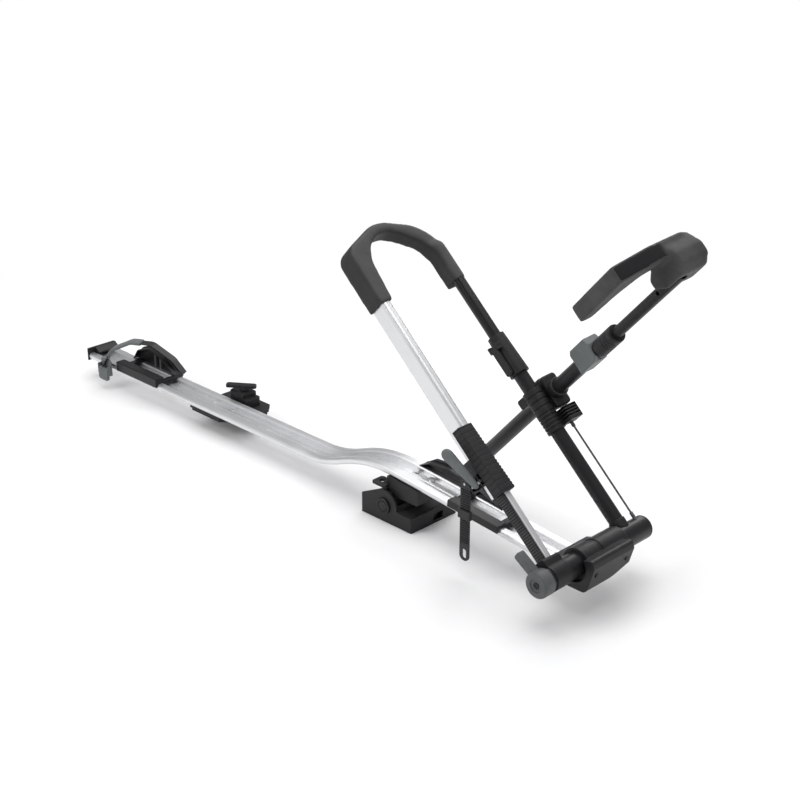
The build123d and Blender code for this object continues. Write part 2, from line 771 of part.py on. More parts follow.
def far_tube():
    """Lower round tube of the far leg."""
    bore = FAR_TUBE_RADIUS - FAR_TUBE_WALL
    tube = rod_y(FAR_LEG_Y, FAR_TUBE_N, FAR_TUBE_RADIUS, CROSS_TUBE_RADIUS, FAR_TUBE_END)
    return tube - rod_y(FAR_LEG_Y, FAR_TUBE_N, bore, CROSS_TUBE_RADIUS, FAR_TUBE_END)


def far_collar():
    """Collar at the foot of the far leg."""
    collar = rod_y(FAR_LEG_Y, FAR_TUBE_N, COLLAR_RADIUS, 0, COLLAR_TOP)
    collar = chamfer(collar.edges().group_by(Axis.Y)[-1], BODY_GAP * 4)
    collar -= rod_y(FAR_LEG_Y, FAR_TUBE_N, FAR_TUBE_RADIUS, 0, COLLAR_TOP)
    return collar - rod_x(0, 0, CROSS_TUBE_RADIUS, FAR_LEG_Y - HUB_RADIUS, FAR_LEG_Y + HUB_RADIUS)


def upper_tube():
    """Thinner tube that slides in the far leg, with a groove along its front."""
    tube = rod_y(FAR_LEG_Y, FAR_TUBE_N, UPPER_TUBE_RADIUS, UPPER_TUBE_START, UPPER_TUBE_END)
    tube -= rod_y(FAR_LEG_Y, FAR_TUBE_N, UPPER_TUBE_BORE, UPPER_TUBE_START, UPPER_TUBE_END)
    groove_x = FAR_LEG_Y - UPPER_TUBE_RADIUS * math.cos(LEAN)
    groove_z = FAR_TUBE_N + UPPER_TUBE_RADIUS * math.sin(LEAN)
    groove = rod_y(groove_x, groove_z, GROOVE_DEPTH, UPPER_TUBE_START, UPPER_TUBE_END)
    return tube - groove


def arch(margin):
    """Outline of the hoop's bend, drawn in by a margin on every side."""
    outer = cover_outer(margin)
    inner = cover_inner(margin)
    face = polygon(*outer, *inner)
    face = soften(face, outer[1:2], COVER_SHOULDER_ROUND)
    face = soften(face, outer[2:6], COVER_TOP_ROUND - 2 * margin)
    return soften(face, inner[1:8], COVER_INNER_ROUND - margin)


def hoop_core():
    """Hidden bow inside the cover that joins the two legs."""
    bow = upward(arch(CORE_MARGIN), CORE_BACK, CORE_FRONT)
    bow -= brick(2 * COVER_NEAR_OUT, 0, 0, NEAR_LEG_END, 2 * CORE_BACK, -CORE_BACK)
    bow -= brick(0, 2 * COVER_FAR_OUT, 0, COVER_FAR_END + COVER_BAND, 2 * CORE_BACK, -CORE_BACK)
    return bow - upper_tube_solid()


def hoop_cover(filling):
    """Rubber cover over the bend of the hoop, thinner towards the far side."""
    cover = upward(arch(0), COVER_BACK_NEAR, COVER_FRONT)
    slope = polygon(
        (COVER_NEAR_OUT, COVER_BACK_NEAR),
        (COVER_FAR_OUT, COVER_BACK_FAR),
        (2 * COVER_FAR_OUT, COVER_BACK_FAR),
        (2 * COVER_FAR_OUT, 2 * COVER_BACK_NEAR),
        (COVER_NEAR_OUT, 2 * COVER_BACK_NEAR),
    )
    cover -= across(slope, 0, 2 * HOOP_HEIGHT)
    cover = fillet(cover.faces().sort_by(Axis.Z)[-1].outer_wire().edges(), COVER_ROUND)
    sheath = rod_y(FAR_LEG_Y, FAR_TUBE_N, UPPER_TUBE_RADIUS + COVER_WALL, COVER_FAR_END, COVER_SHEATH_TOP)
    sheath = fillet(sheath.edges().group_by(Axis.Y)[-1], UPPER_TUBE_RADIUS)
    cover += sheath
    for piece in filling:
        cover -= piece
    return cover


def near_leg_solid():
    """Outer shape of the near leg, closed."""
    section = bar_profile(NEAR_LEG_WIDTH, NEAR_LEG_DEPTH, NEAR_LEG_FRONT, NEAR_LEG_ROUND, NEAR_LEG_Y)
    return across(section, NEAR_LEG_START, NEAR_LEG_END)


def upper_tube_solid():
    """Outer shape of the far upper tube, closed."""
    return rod_y(FAR_LEG_Y, FAR_TUBE_N, UPPER_TUBE_RADIUS, UPPER_TUBE_START, UPPER_TUBE_END)


def sleeve_clamp():
    """Split clamp on top of the far leg's lower tube, with ears for its lever."""
    profile = [
        (0, SLEEVE_START),
        (SLEEVE_LOW_RADIUS, SLEEVE_START),
        (SLEEVE_TOP_RADIUS, SLEEVE_END),
        (0, SLEEVE_END),
    ]
    body = Pos(FAR_LEG_Y, 0, FAR_TUBE_N) * revolve(polygon(*profile), Axis.Y)
    for sign in (-1, 1):
        z = FAR_TUBE_N + sign * (SLEEVE_LEVER_WIDTH / 2 + SLEEVE_LEVER_THICK / 2 + BODY_GAP)
        body += brick(
            FAR_LEG_Y - SLEEVE_LOW_RADIUS - SLEEVE_EAR_REACH / 2,
            FAR_LEG_Y,
            SLEEVE_PIN_S - SLEEVE_EAR_LENGTH / 2,
            SLEEVE_PIN_S + SLEEVE_EAR_LENGTH / 2,
            z - SLEEVE_LEVER_THICK / 2,
            z + SLEEVE_LEVER_THICK / 2,
        )
    body -= rod_y(FAR_LEG_Y, FAR_TUBE_N, FAR_TUBE_RADIUS, SLEEVE_START, FAR_TUBE_END)
    body -= rod_y(FAR_LEG_Y, FAR_TUBE_N, UPPER_TUBE_RADIUS + BODY_GAP, FAR_TUBE_END, SLEEVE_END)
    body -= brick(
        FAR_LEG_Y + FAR_TUBE_RADIUS / 2,
        FAR_LEG_Y + 2 * SLEEVE_LOW_RADIUS,
        SLEEVE_START + SLEEVE_EAR_LENGTH,
        SLEEVE_END,
        FAR_TUBE_N - SLEEVE_SLOT / 2,
        FAR_TUBE_N + SLEEVE_SLOT / 2,
    )
    pin_y = FAR_LEG_Y - SLEEVE_LOW_RADIUS
    half = SLEEVE_LEVER_WIDTH / 2 + BODY_GAP
    body -= rod_z(pin_y, SLEEVE_PIN_S, SLEEVE_LEVER_THICK + BODY_GAP, FAR_TUBE_N - half, FAR_TUBE_N + half)
    reach = SLEEVE_LEVER_WIDTH
    return body - rod_z(pin_y, SLEEVE_PIN_S, SLEEVE_PIN_RADIUS, FAR_TUBE_N - reach, FAR_TUBE_N + reach)


def sleeve_pin():
    """Pin through the ears of the sleeve clamp."""
    reach = SLEEVE_LEVER_WIDTH / 2 + SLEEVE_LEVER_THICK + BODY_GAP
    return rod_z(
        FAR_LEG_Y - SLEEVE_LOW_RADIUS, SLEEVE_PIN_S, SLEEVE_PIN_RADIUS, FAR_TUBE_N - reach, FAR_TUBE_N + reach
    )


def sleeve_lever():
    """Flat cam lever of the sleeve clamp, lying along the tube."""
    pin_x = FAR_LEG_Y - SLEEVE_LOW_RADIUS
    half = SLEEVE_LEVER_WIDTH / 2
    eye = rod_z(pin_x, SLEEVE_PIN_S, SLEEVE_LEVER_THICK, FAR_TUBE_N - half, FAR_TUBE_N + half)
    blade = brick(
        pin_x - SLEEVE_LEVER_THICK,
        pin_x - BODY_GAP,
        SLEEVE_PIN_S - SLEEVE_LEVER_LENGTH,
        SLEEVE_PIN_S,
        FAR_TUBE_N - half,
        FAR_TUBE_N + half,
    )
    blade = fillet(blade.edges().filter_by(Axis.X).group_by(Axis.Y)[0], SLEEVE_LEVER_THICK)
    hole = SLEEVE_PIN_RADIUS + RUNNING_FIT
    return eye + blade - rod_z(pin_x, SLEEVE_PIN_S, hole, FAR_TUBE_N - half, FAR_TUBE_N + half)


def cable_anchor():
    """Clamped ring on the far leg with the finned lump that holds the cable."""
    body = hinge_ring(RING_START, RING_END, RING_RIB_COUNT)
    lump = brick(ANCHOR_IN, ANCHOR_OUT, ANCHOR_START, ANCHOR_END, ANCHOR_BACK, ANCHOR_FRONT)
    lump = chamfer(lump.edges().filter_by(Axis.Y).group_by(Axis.X)[-1], BLOCK_RIB_WIDTH)
    pitch = (ANCHOR_END - ANCHOR_START) / (ANCHOR_SLOTS + 1)
    for index in range(1, ANCHOR_SLOTS + 1):
        middle = ANCHOR_START + (index + 1 / 2) * pitch
        lump -= brick(
            ANCHOR_IN,
            ANCHOR_OUT - BLOCK_RIB_WIDTH,
            middle - ANCHOR_SLOT_WIDTH / 2,
            middle + ANCHOR_SLOT_WIDTH / 2,
            ANCHOR_FRONT - ANCHOR_SLOT_DEPTH,
            2 * ANCHOR_FRONT,
        )
    return body + lump - rod_y(FAR_LEG_Y, FAR_TUBE_N, FAR_TUBE_RADIUS, 0, FAR_TUBE_END)


def cable():
    """Taut steel cable from the anchor ring to the far end of the cross tube."""
    return rod_y(CABLE_Y, CABLE_N, CABLE_RADIUS, cable_foot(), ANCHOR_START)


def cable_foot():
    """Place along the leg where the cable meets the cross tube."""
    return math.sqrt(CROSS_TUBE_RADIUS**2 - CABLE_N**2) + FERRULE_LENGTH / 2


def cable_ferrules():
    """Crimped sleeves at the two ends of the cable and the lower one's boss on the cross tube."""
    sleeves = []
    foot = cable_foot()
    for start, end in ((foot, foot + FERRULE_LENGTH), (ANCHOR_START - FERRULE_LENGTH, ANCHOR_START)):
        sleeve = rod_y(CABLE_Y, CABLE_N, FERRULE_RADIUS, start, end)
        sleeves.append(sleeve - rod_y(CABLE_Y, CABLE_N, CABLE_RADIUS, start, end))
    boss = rod_y(CABLE_Y, CABLE_N, FERRULE_RADIUS, 0, foot)
    sleeves.append(boss - rod_x(0, 0, CROSS_TUBE_RADIUS, 0, AXLE_LENGTH))
    return sleeves


def ladder_strap():
    """Toothed strap from the near hub up into the ratchet buckle."""
    back = STRAP_FRONT - STRAP_WIDTH
    strap = brick(STRAP_FACE_Y - STRAP_THICK, STRAP_FACE_Y, STRAP_START, STRAP_END, back, STRAP_FRONT)
    count = int((STRAP_END - STRAP_PLAIN_END) / TOOTH_PITCH)
    for index in range(count):
        start = STRAP_PLAIN_END + index * TOOTH_PITCH
        strap += brick(
            STRAP_FACE_Y - STRAP_THICK - TOOTH_HEIGHT,
            STRAP_FACE_Y - STRAP_THICK,
            start,
            start + TOOTH_LENGTH,
            back + STRAP_THICK,
            STRAP_FRONT - STRAP_THICK,
        )
    return strap


def buckle_cover():
    """Ribbed moulding that wraps the near leg over the ratchet."""
    side = [
        (BUCKLE_START, BUCKLE_BACK),
        (BUCKLE_START, BUCKLE_LOW_FRONT),
        (BUCKLE_END, BUCKLE_TOP_FRONT),
        (BUCKLE_END, BUCKLE_BACK),
    ]
    body = along(polygon(*side), BUCKLE_OUT, BUCKLE_IN)
    body = chamfer(body.edges().group_by(Axis.Z)[-1], BUCKLE_WALL)
    pitch = BUCKLE_RIB_PITCH
    count = int((BUCKLE_END - BUCKLE_START) / pitch)
    for index in range(1, count):
        middle = BUCKLE_START + index * pitch
        body -= brick(
            BUCKLE_IN - BUCKLE_RIB_DEPTH,
            2 * abs(BUCKLE_IN),
            middle - BUCKLE_RIB_WIDTH / 2,
            middle + BUCKLE_RIB_WIDTH / 2,
            NEAR_LEG_FRONT + BUCKLE_WALL,
            2 * BUCKLE_LOW_FRONT,
        )
    section = bar_profile(NEAR_LEG_WIDTH, NEAR_LEG_DEPTH, NEAR_LEG_FRONT, NEAR_LEG_ROUND, NEAR_LEG_Y)
    body -= across(section, 0, NEAR_LEG_END)
    path = brick(
        STRAP_FACE_Y - STRAP_THICK - 2 * TOOTH_HEIGHT,
        NEAR_LEG_Y - NEAR_LEG_WIDTH / 2 + NEAR_LEG_ROUND,
        BUCKLE_START,
        BUCKLE_END,
        2 * FRAME_BACK,
        STRAP_FRONT + BODY_GAP,
    )
    return body - path


def buckle_frame():
    """Metal frame of the ratchet buckle beside the strap, with ears for lever and tail."""
    leg_face = NEAR_LEG_Y - NEAR_LEG_WIDTH / 2
    strap_back = STRAP_FRONT - STRAP_WIDTH - BODY_GAP
    plate = brick(leg_face - FRAME_THICK, leg_face, FRAME_START, FRAME_END, FRAME_BACK, strap_back)
    plate = chamfer(plate.edges().filter_by(Axis.X).group_by(Axis.Z)[0], LEVER_THICK)
    inner = STRAP_FACE_Y - STRAP_THICK - 2 * TOOTH_HEIGHT
    web_out = inner - FRAME_THICK
    low = LEVER_N - LEVER_WIDTH / 2
    high = LEVER_N + LEVER_WIDTH / 2
    body = plate + brick(web_out, leg_face, FRAME_WEB_START, FRAME_WEB_END, low - FRAME_THICK, strap_back)
    body += brick(web_out, inner, FRAME_WEB_START, FRAME_WEB_END, low - FRAME_THICK, high + FRAME_THICK)
    ear_out = LEVER_PIN_Y - LEVER_THICK / 2
    for start, ear_in in ((low - FRAME_THICK, leg_face), (high, inner)):
        body += brick(
            ear_out, ear_in, LEVER_PIN_S - LEVER_THICK, FRAME_WEB_END, start, start + FRAME_THICK
        )
    body -= rod_z(LEVER_PIN_Y, LEVER_PIN_S, LEVER_PIN_RADIUS, 2 * FRAME_BACK, 0)
    return body - rod_x(TAIL_PIVOT_S, TAIL_PIVOT_N, TAIL_PIN_RADIUS, 2 * TAIL_Y, 0)


def buckle_lever():
    """Grey lever that pumps the ladder strap."""
    low = LEVER_N - LEVER_WIDTH / 2 + BODY_GAP
    high = LEVER_N + LEVER_WIDTH / 2 - BODY_GAP
    blade = brick(
        LEVER_OUT, LEVER_OUT + LEVER_THICK, LEVER_PIN_S, LEVER_PIN_S + LEVER_LENGTH, low, high
    )
    blade = fillet(blade.edges().filter_by(Axis.X).group_by(Axis.Y)[-1], LEVER_THICK)
    blade = chamfer(blade.edges().group_by(Axis.X)[0], LEVER_THICK / 4)
    eye = rod_z(LEVER_PIN_Y, LEVER_PIN_S, LEVER_THICK - 2 * BODY_GAP, low, high)
    body = blade + eye - rod_z(LEVER_PIN_Y, LEVER_PIN_S, LEVER_PIN_RADIUS + RUNNING_FIT, low, high)
    pin = Pos(LEVER_PIN_Y, LEVER_PIN_S)
    return pin * Rot(0, 0, LEVER_LEAN_DEG) * pin.inverse() * body


def tail_pivot():
    """Point where the strap's free end leaves the buckle."""
    return HOOP.from_local_coords((TAIL_Y, TAIL_PIVOT_S, TAIL_PIVOT_N))


def strap_tail():
    """Free end of the ladder strap, hanging from the buckle, with an oval hole."""
    top = tail_pivot()
    half = TAIL_WIDTH / 2
    outline = rounded(top.X - half, top.X + half, top.Z - TAIL_LENGTH, top.Z + half, half - BODY_GAP)
    hole_z = top.Z - TAIL_LENGTH + TAIL_HOLE_LENGTH / 2 + TAIL_HOLE_WIDTH / 2
    hole = Pos(top.X, hole_z) * Rot(0, 0, UPRIGHT_DEG) * SlotOverall(TAIL_HOLE_LENGTH, TAIL_HOLE_WIDTH)
    strap = across(outline - hole, TAIL_Y - STRAP_THICK / 2, TAIL_Y + STRAP_THICK / 2)
    count = int((TAIL_LENGTH - TAIL_WIDTH - TAIL_HOLE_LENGTH) / TOOTH_PITCH)
    for index in range(count):
        z = top.Z - TAIL_WIDTH / 2 - index * TOOTH_PITCH
        strap += brick(
            top.X - half + STRAP_THICK,
            top.X + half - STRAP_THICK,
            TAIL_Y - STRAP_THICK / 2 - TOOTH_HEIGHT,
            TAIL_Y - STRAP_THICK / 2,
            z - TOOTH_LENGTH,
            z,
        )
    return strap - rod_y(top.X, top.Z, TAIL_PIN_RADIUS + RUNNING_FIT, 2 * TAIL_Y, 0)


def strap_keeper():
    """Loop that slides on the strap's free end."""
    top = tail_pivot()
    high = top.Z - KEEPER_DROP
    half = TAIL_WIDTH / 2 + BODY_GAP
    near = TAIL_Y - STRAP_THICK / 2 - TOOTH_HEIGHT - BODY_GAP
    far = TAIL_Y + STRAP_THICK / 2 + BODY_GAP
    loop = brick(
        top.X - half - KEEPER_WALL,
        top.X + half + KEEPER_WALL,
        near - KEEPER_WALL,
        far + KEEPER_WALL,
        high - KEEPER_HEIGHT,
        high,
    )
    loop = fillet(loop.edges().filter_by(Axis.Z), KEEPER_WALL / 2)
    return loop - brick(top.X - half, top.X + half, near, far, high - KEEPER_HEIGHT, high)


def axle_knob():
    """Grey knob on the near end of the cross tube, with its lever."""
    half = AXLE_LENGTH / 2
    knob = rod_y(0, 0, KNOB_RADIUS, -half, -half + KNOB_LENGTH)
    knob = fillet(knob.edges().group_by(Axis.Y)[0], KNOB_ROUND)
    lever = across(
        Rot(0, 0, KNOB_LEVER_ANGLE)
        * rounded(0, KNOB_LEVER_REACH, -KNOB_LEVER_WIDTH / 2, KNOB_LEVER_WIDTH / 2, KNOB_ROUND),
        -half + KNOB_LENGTH - KNOB_LEVER_THICK - BODY_GAP,
        -half + KNOB_LENGTH - BODY_GAP,
    )
    lever = fillet(lever.edges().group_by(Axis.Y)[0], KNOB_ROUND / 2)
    stem = rod_y(0, 0, KNOB_STEM_RADIUS, -half, -half + KNOB_LENGTH + KNOB_STEM_LENGTH)
    body = knob + lever + stem
    body -= rod_y(0, 0, KNOB_RECESS_RADIUS, -half, -half + KNOB_RECESS_DEPTH)
    body -= rod_y(0, 0, LOCK_RADIUS + RUNNING_FIT, -half, -half + LOCK_LENGTH + BODY_GAP)
    return Pos(AXLE_X, 0, AXLE_Z) * body


def lock_barrel():
    """Lock barrel in the knob, with its key slot."""
    half = AXLE_LENGTH / 2
    barrel = rod_y(0, 0, LOCK_RADIUS, -half + BODY_GAP, -half + LOCK_LENGTH)
    slot = brick(
        -KEY_SLOT_LENGTH / 2,
        KEY_SLOT_LENGTH / 2,
        -half,
        -half + KEY_SLOT_DEPTH,
        -KEY_SLOT_WIDTH / 2,
        KEY_SLOT_WIDTH / 2,
    )
    return Pos(AXLE_X, 0, AXLE_Z) * (barrel - Rot(0, HOOP_LEAN_DEG, 0) * slot)


def knob_seat():
    """Hidden plug in the cross tube that the knob's stem turns in."""
    half = AXLE_LENGTH / 2
    start = -half + KNOB_LENGTH + BODY_GAP
    plug = rod_x(0, 0, CROSS_TUBE_BORE, start + BODY_GAP, start + KNOB_STEM_LENGTH + BODY_GAP)
    return plug - rod_x(0, 0, KNOB_STEM_RADIUS + RUNNING_FIT, -half, half)


def arm_tube():
    """Outer tube of the hook arm."""
    tube = rod_y(0, 0, ARM_RADIUS, ARM_LOW_T, ARM_HIGH_T)
    return tube - rod_y(0, 0, ARM_BORE, ARM_LOW_T, ARM_HIGH_T)


def arm_plug():
    """Plug in the lower end of the hook arm."""
    plug = rod_y(0, 0, ARM_BORE, ARM_LOW_T, ARM_LOW_T + ARM_BORE)
    disc = rod_y(0, 0, ARM_RADIUS, ARM_LOW_T - KNOB_RECESS_DEPTH * 2, ARM_LOW_T)
    disc = fillet(disc.edges().group_by(Axis.Y)[0], KNOB_RECESS_DEPTH)
    return plug + disc


def arm_carrier():
    """Moulded carrier that holds the arm tube and turns on the swivel's stud."""
    body = across(
        rounded(-CARRIER_HALF, CARRIER_HALF, CARRIER_TOP_Z, CARRIER_BOTTOM_Z, CARRIER_ROUND),
        CARRIER_LOW_T,
        CARRIER_HIGH_T,
    )
    flange = across(
        rounded(
            -CARRIER_HALF,
            CARRIER_HALF + CARRIER_ROUND / 4,
            FLANGE_TOP_Z,
            FLANGE_BOTTOM_Z,
            CARRIER_ROUND,
        ),
        CARRIER_HIGH_T,
        FLANGE_END_T,
    )
    flange = fillet(flange.edges().group_by(Axis.Y)[-1], CARRIER_ROUND / 2)
    collar = rod_y(0, 0, ARM_RADIUS + COLLAR_GROW, FLANGE_END_T, COLLAR_END_T)
    collar = chamfer(collar.edges().group_by(Axis.Y)[-1], COLLAR_GROW / 2)
    body += flange + collar
    body -= rod_y(0, 0, ARM_RADIUS, CARRIER_LOW_T, COLLAR_END_T)
    socket_end = STUD_DEPTH + BODY_GAP - CARRIER_HALF
    return body - rod_x(0, 0, STUD_RADIUS + RUNNING_FIT, -2 * CARRIER_HALF, socket_end)


def trigger_housing():
    """Sleeve on the hook arm that holds the ratchet and its trigger."""
    body = rod_y(0, 0, HOUSING_RADIUS, HOUSING_LOW_T, ARM_HIGH_T)
    body = chamfer(body.edges().group_by(Axis.Y)[-1], RAIL_WALL)
    for index in range(HOUSING_SLOT_COUNT):
        start = ARM_HIGH_T - HOUSING_RING_LENGTH * (index + 2)
        ring = rod_y(0, 0, 2 * HOUSING_RADIUS, start, start + HOUSING_SLOT_WIDTH)
        ring -= rod_y(0, 0, HOUSING_RADIUS - HOUSING_SLOT_WIDTH / 2, start, start + HOUSING_SLOT_WIDTH)
        body -= ring
    return body - rod_y(0, 0, ARM_RADIUS, HOUSING_LOW_T, ARM_HIGH_T)


def rod_guide():
    """Bushing in the mouth of the arm tube that the rod runs in."""
    ring = rod_y(0, 0, ARM_BORE, ARM_HIGH_T - HOUSING_RING_LENGTH * 2, ARM_HIGH_T)
    return ring - rod_y(0, 0, ROD_RADIUS + RUNNING_FIT, ARM_LOW_T, ARM_HIGH_T)


def trigger():
    """Grey trigger that rides on the arm tube and slides to free the ratchet."""
    side = polygon(
        (TRIGGER_LOW_T, TRIGGER_TOP_Z + TRIGGER_NOSE / 2),
        (TRIGGER_LOW_T + TRIGGER_NOSE / 2, TRIGGER_TOP_Z),
        (TRIGGER_HIGH_T - TRIGGER_NOSE / 2, TRIGGER_TOP_Z),
        (TRIGGER_HIGH_T, TRIGGER_TOP_Z + TRIGGER_NOSE),
        (TRIGGER_HIGH_T, TRIGGER_BOTTOM_Z - TRIGGER_NOSE / 2),
        (TRIGGER_HIGH_T - TRIGGER_NOSE, TRIGGER_BOTTOM_Z),
        (TRIGGER_LOW_T, TRIGGER_BOTTOM_Z),
    )
    body = along(side, TRIGGER_NEAR_X, TRIGGER_FAR_X)
    body = fillet(body.edges().group_by(Axis.X)[0] + body.edges().group_by(Axis.X)[-1], KNOB_ROUND / 2)
    return body - rod_y(0, 0, ARM_RADIUS + BODY_GAP, 0, ARM_HIGH_T)


def hook_rod():
    """Rod that telescopes in the hook arm, with a hole near the pad."""
    rod = rod_y(0, 0, ROD_RADIUS, ROD_LOW_T, ROD_HIGH_T)
    rod -= rod_y(0, 0, ROD_RADIUS - ROD_WALL, ROD_LOW_T, ROD_HIGH_T)
    return rod - rod_x(ROD_HOLE_T, 0, ROD_HOLE_RADIUS, -2 * ROD_RADIUS, 0)


def pad_outline(margin):
    """Outline of the hook across the arm: near tip, crossing and far corner."""
    outer = [
        (PAD_NEAR_X + margin, PAD_TIP_T + margin),
        (PAD_NEAR_X + margin, PAD_SHOULDER_T - margin / 2),
        (PAD_APEX_X - PAD_THICK / 2, PAD_CREST_T - margin),
        (PAD_FAR_X - PAD_THICK / 2, PAD_CREST_T - margin),
        (PAD_FAR_X - margin, PAD_CREST_T - PAD_THICK / 2),
        (PAD_FAR_X - margin, PAD_INNER_T + margin - PAD_THICK),
    ]
    inner = [
        (PAD_BOSS_X + margin, PAD_INNER_T + margin - PAD_THICK),
        (PAD_BOSS_X + margin, PAD_INNER_T + margin),
        (PAD_NEAR_IN + PAD_THICK - margin, PAD_INNER_T - PAD_THICK / 5 + margin),
        (PAD_NEAR_IN + PAD_THICK / 3 - margin, PAD_INNER_T - PAD_THICK * 2),
        (PAD_NEAR_IN - margin, PAD_TIP_T + margin),
    ]
    face = polygon(*outer, *inner)
    face = soften(face, outer[0:2] + inner[4:5], PAD_THICK / 4)
    face = soften(face, outer[2:3], PAD_THICK)
    face = soften(face, outer[3:5], PAD_THICK * 2 / 3 - margin)
    return soften(face, inner[2:4], PAD_THICK)


def hook_core():
    """Hidden bow inside the pad, on the end of the rod."""
    bow = upward(pad_outline(PAD_ROUND), PAD_TOP_Z + PAD_ROUND, PAD_BAND_Z - PAD_ROUND)
    post = brick(
        ROD_RADIUS - PAD_ROUND,
        PAD_FAR_X - PAD_ROUND,
        PAD_INNER_T,
        ROD_HIGH_T,
        PAD_BAND_Z - PAD_ROUND,
        0,
    )
    return bow + post - hook_rod_solid()


def hook_pad(filling):
    """Rubber pad of the hook: a bow across the tyre with a boss round the rod."""
    bow = upward(pad_outline(0), PAD_TOP_Z, PAD_BAND_Z)
    bow = fillet(bow.faces().sort_by(Axis.Z)[0].outer_wire().edges(), PAD_ROUND / 2)
    body = bow + pad_boss()
    for piece in filling:
        body -= piece
    return body


def hook_rod_solid():
    """Outer shape of the hook rod, closed."""
    return rod_y(0, 0, ROD_RADIUS, ROD_LOW_T, ROD_HIGH_T)


def foot_bracket():
    """Bracket under the rail that the front foot's jaw hangs from, with a holed tab."""
    top = BEND_TOP_Z
    body = brick(
        FOOT_BRACKET_REAR, FOOT_BRACKET_FRONT, -FOOT_BRACKET_HALF, FOOT_BRACKET_HALF, FOOT_BRACKET_BOTTOM, top
    )
    body = chamfer(body.edges().filter_by(Axis.Y).group_by(Axis.Z)[0], TRAY_WALL)
    run = RAIL_FRONT_X - RAIL_REAR_X
    body -= on_front(brick(-run, run, -2 * RAIL_WIDTH, 2 * RAIL_WIDTH, -RAIL_HEIGHT, RAIL_WIDTH))
    body -= rail_hull()
    knuckle = rod_y(HUB_X, HUB_Z, KNUCKLE_RADIUS, FOOT_NEAR_Y + TRAY_WALL * 2, FOOT_BRACKET_HALF)
    web = brick(
        HUB_X - KNUCKLE_RADIUS,
        HUB_X + KNUCKLE_RADIUS,
        FOOT_NEAR_Y + TRAY_WALL * 2,
        FOOT_BRACKET_HALF,
        HUB_Z,
        FOOT_BRACKET_BOTTOM + TRAY_WALL * 2,
    )
    body += knuckle + web + foot_tab()
    for x, y in foot_bolt_places():
        body -= rod_z(x, y, FOOT_BOLT_RADIUS, 0, BEND_TOP_Z)
    return body - rod_y(HUB_X, HUB_Z, HUB_PIN_RADIUS, 2 * FOOT_NEAR_Y, 2 * FOOT_FAR_Y)


def foot_tab():
    """Tab with a hole behind the bracket for a lock or tether."""
    plate = rounded(TAB_START, TAB_END + TAB_THICK, TAB_NEAR_Y, TAB_FAR_Y, TAB_HOLE_RADIUS)
    tab = upward(plate, TAB_Z, TAB_Z + TAB_THICK)
    hole_x = (TAB_START + TAB_END) / 2
    return tab - rod_z(hole_x, (TAB_NEAR_Y + TAB_FAR_Y) / 2, TAB_HOLE_RADIUS, TAB_Z, 2 * TAB_Z)


def tray_side():
    """Side view of the jaw's near wall: a low rim and a round cheek over the hub."""
    base = polygon(
        (TRAY_REAR_X, TRAY_FLOOR_Z),
        (TRAY_FRONT_X, TRAY_FLOOR_Z),
        (TRAY_FRONT_X, TRAY_RIM_Z),
        (TRAY_CHEEK_X, TRAY_RIM_Z),
        (HUB_X, HUB_Z),
        (HUB_X - CHEEK_RADIUS * math.cos(CHEEK_LEAN), HUB_Z + CHEEK_RADIUS * math.sin(CHEEK_LEAN)),
        (TRAY_REAR_X, TRAY_REAR_TOP_Z),
    )
    base += Pos(HUB_X, HUB_Z) * Circle(CHEEK_RADIUS)
    keep = polygon(
        (TRAY_REAR_X, TRAY_FLOOR_Z),
        (TRAY_FRONT_X, TRAY_FLOOR_Z),
        (TRAY_FRONT_X, 4 * CHEEK_RADIUS),
        (TRAY_REAR_X, 4 * CHEEK_RADIUS),
    )
    return base & keep


def jaw_tray():
    """Hinged jaw of the front foot that closes under the crossbar."""
    low = polygon(
        (TRAY_REAR_X, TRAY_FLOOR_Z),
        (TRAY_FRONT_X, TRAY_FLOOR_Z),
        (TRAY_FRONT_X, TRAY_RIM_Z),
        (TRAY_REAR_X, TRAY_RIM_Z),
    )
    block = across(low, FOOT_NEAR_Y, FOOT_FAR_Y)
    hollow = brick(
        TRAY_REAR_X + TRAY_WALL,
        TRAY_FRONT_X - TRAY_WALL,
        FOOT_NEAR_Y + TRAY_WALL,
        FOOT_FAR_Y - TRAY_WALL,
        TRAY_FLOOR_Z + TRAY_WALL,
        -TRAY_FLOOR_Z,
    )
    cheek = across(tray_side(), FOOT_NEAR_Y, FOOT_NEAR_Y + TRAY_WALL)
    far_cheek = across(tray_side(), FOOT_BRACKET_HALF + BODY_GAP, FOOT_BRACKET_HALF + BODY_GAP + TRAY_WALL)
    body = block - hollow + cheek + far_cheek
    body = fillet(body.edges().filter_by(Axis.Z).group_by(Axis.X)[-1], TRAY_WALL)
    seat = TRAY_FLOOR_Z + TRAY_WALL * 3 / 2
    body += rod_z(JAW_SCREW_X, JAW_SCREW_Y, JAW_SCREW_RADIUS * 2, TRAY_FLOOR_Z, seat)
    body -= rod_z(JAW_SCREW_X, JAW_SCREW_Y, JAW_SCREW_RADIUS + RUNNING_FIT, 2 * TRAY_FLOOR_Z, 0)
    body -= brick(
        TRAY_FRONT_X - 2 * TRAY_WALL,
        2 * TRAY_FRONT_X,
        JAW_SCREW_Y - JAW_WINDOW_HALF,
        JAW_SCREW_Y + JAW_WINDOW_HALF,
        TRAY_FLOOR_Z + TRAY_WALL * 3 / 2,
        TRAY_FLOOR_Z + TRAY_WALL * 2 + JAW_KNOB_HEIGHT + TRAY_WALL,
    )
    return body - rod_y(HUB_X, HUB_Z, HUB_PIN_RADIUS + RUNNING_FIT, 2 * FOOT_NEAR_Y, 2 * FOOT_FAR_Y)


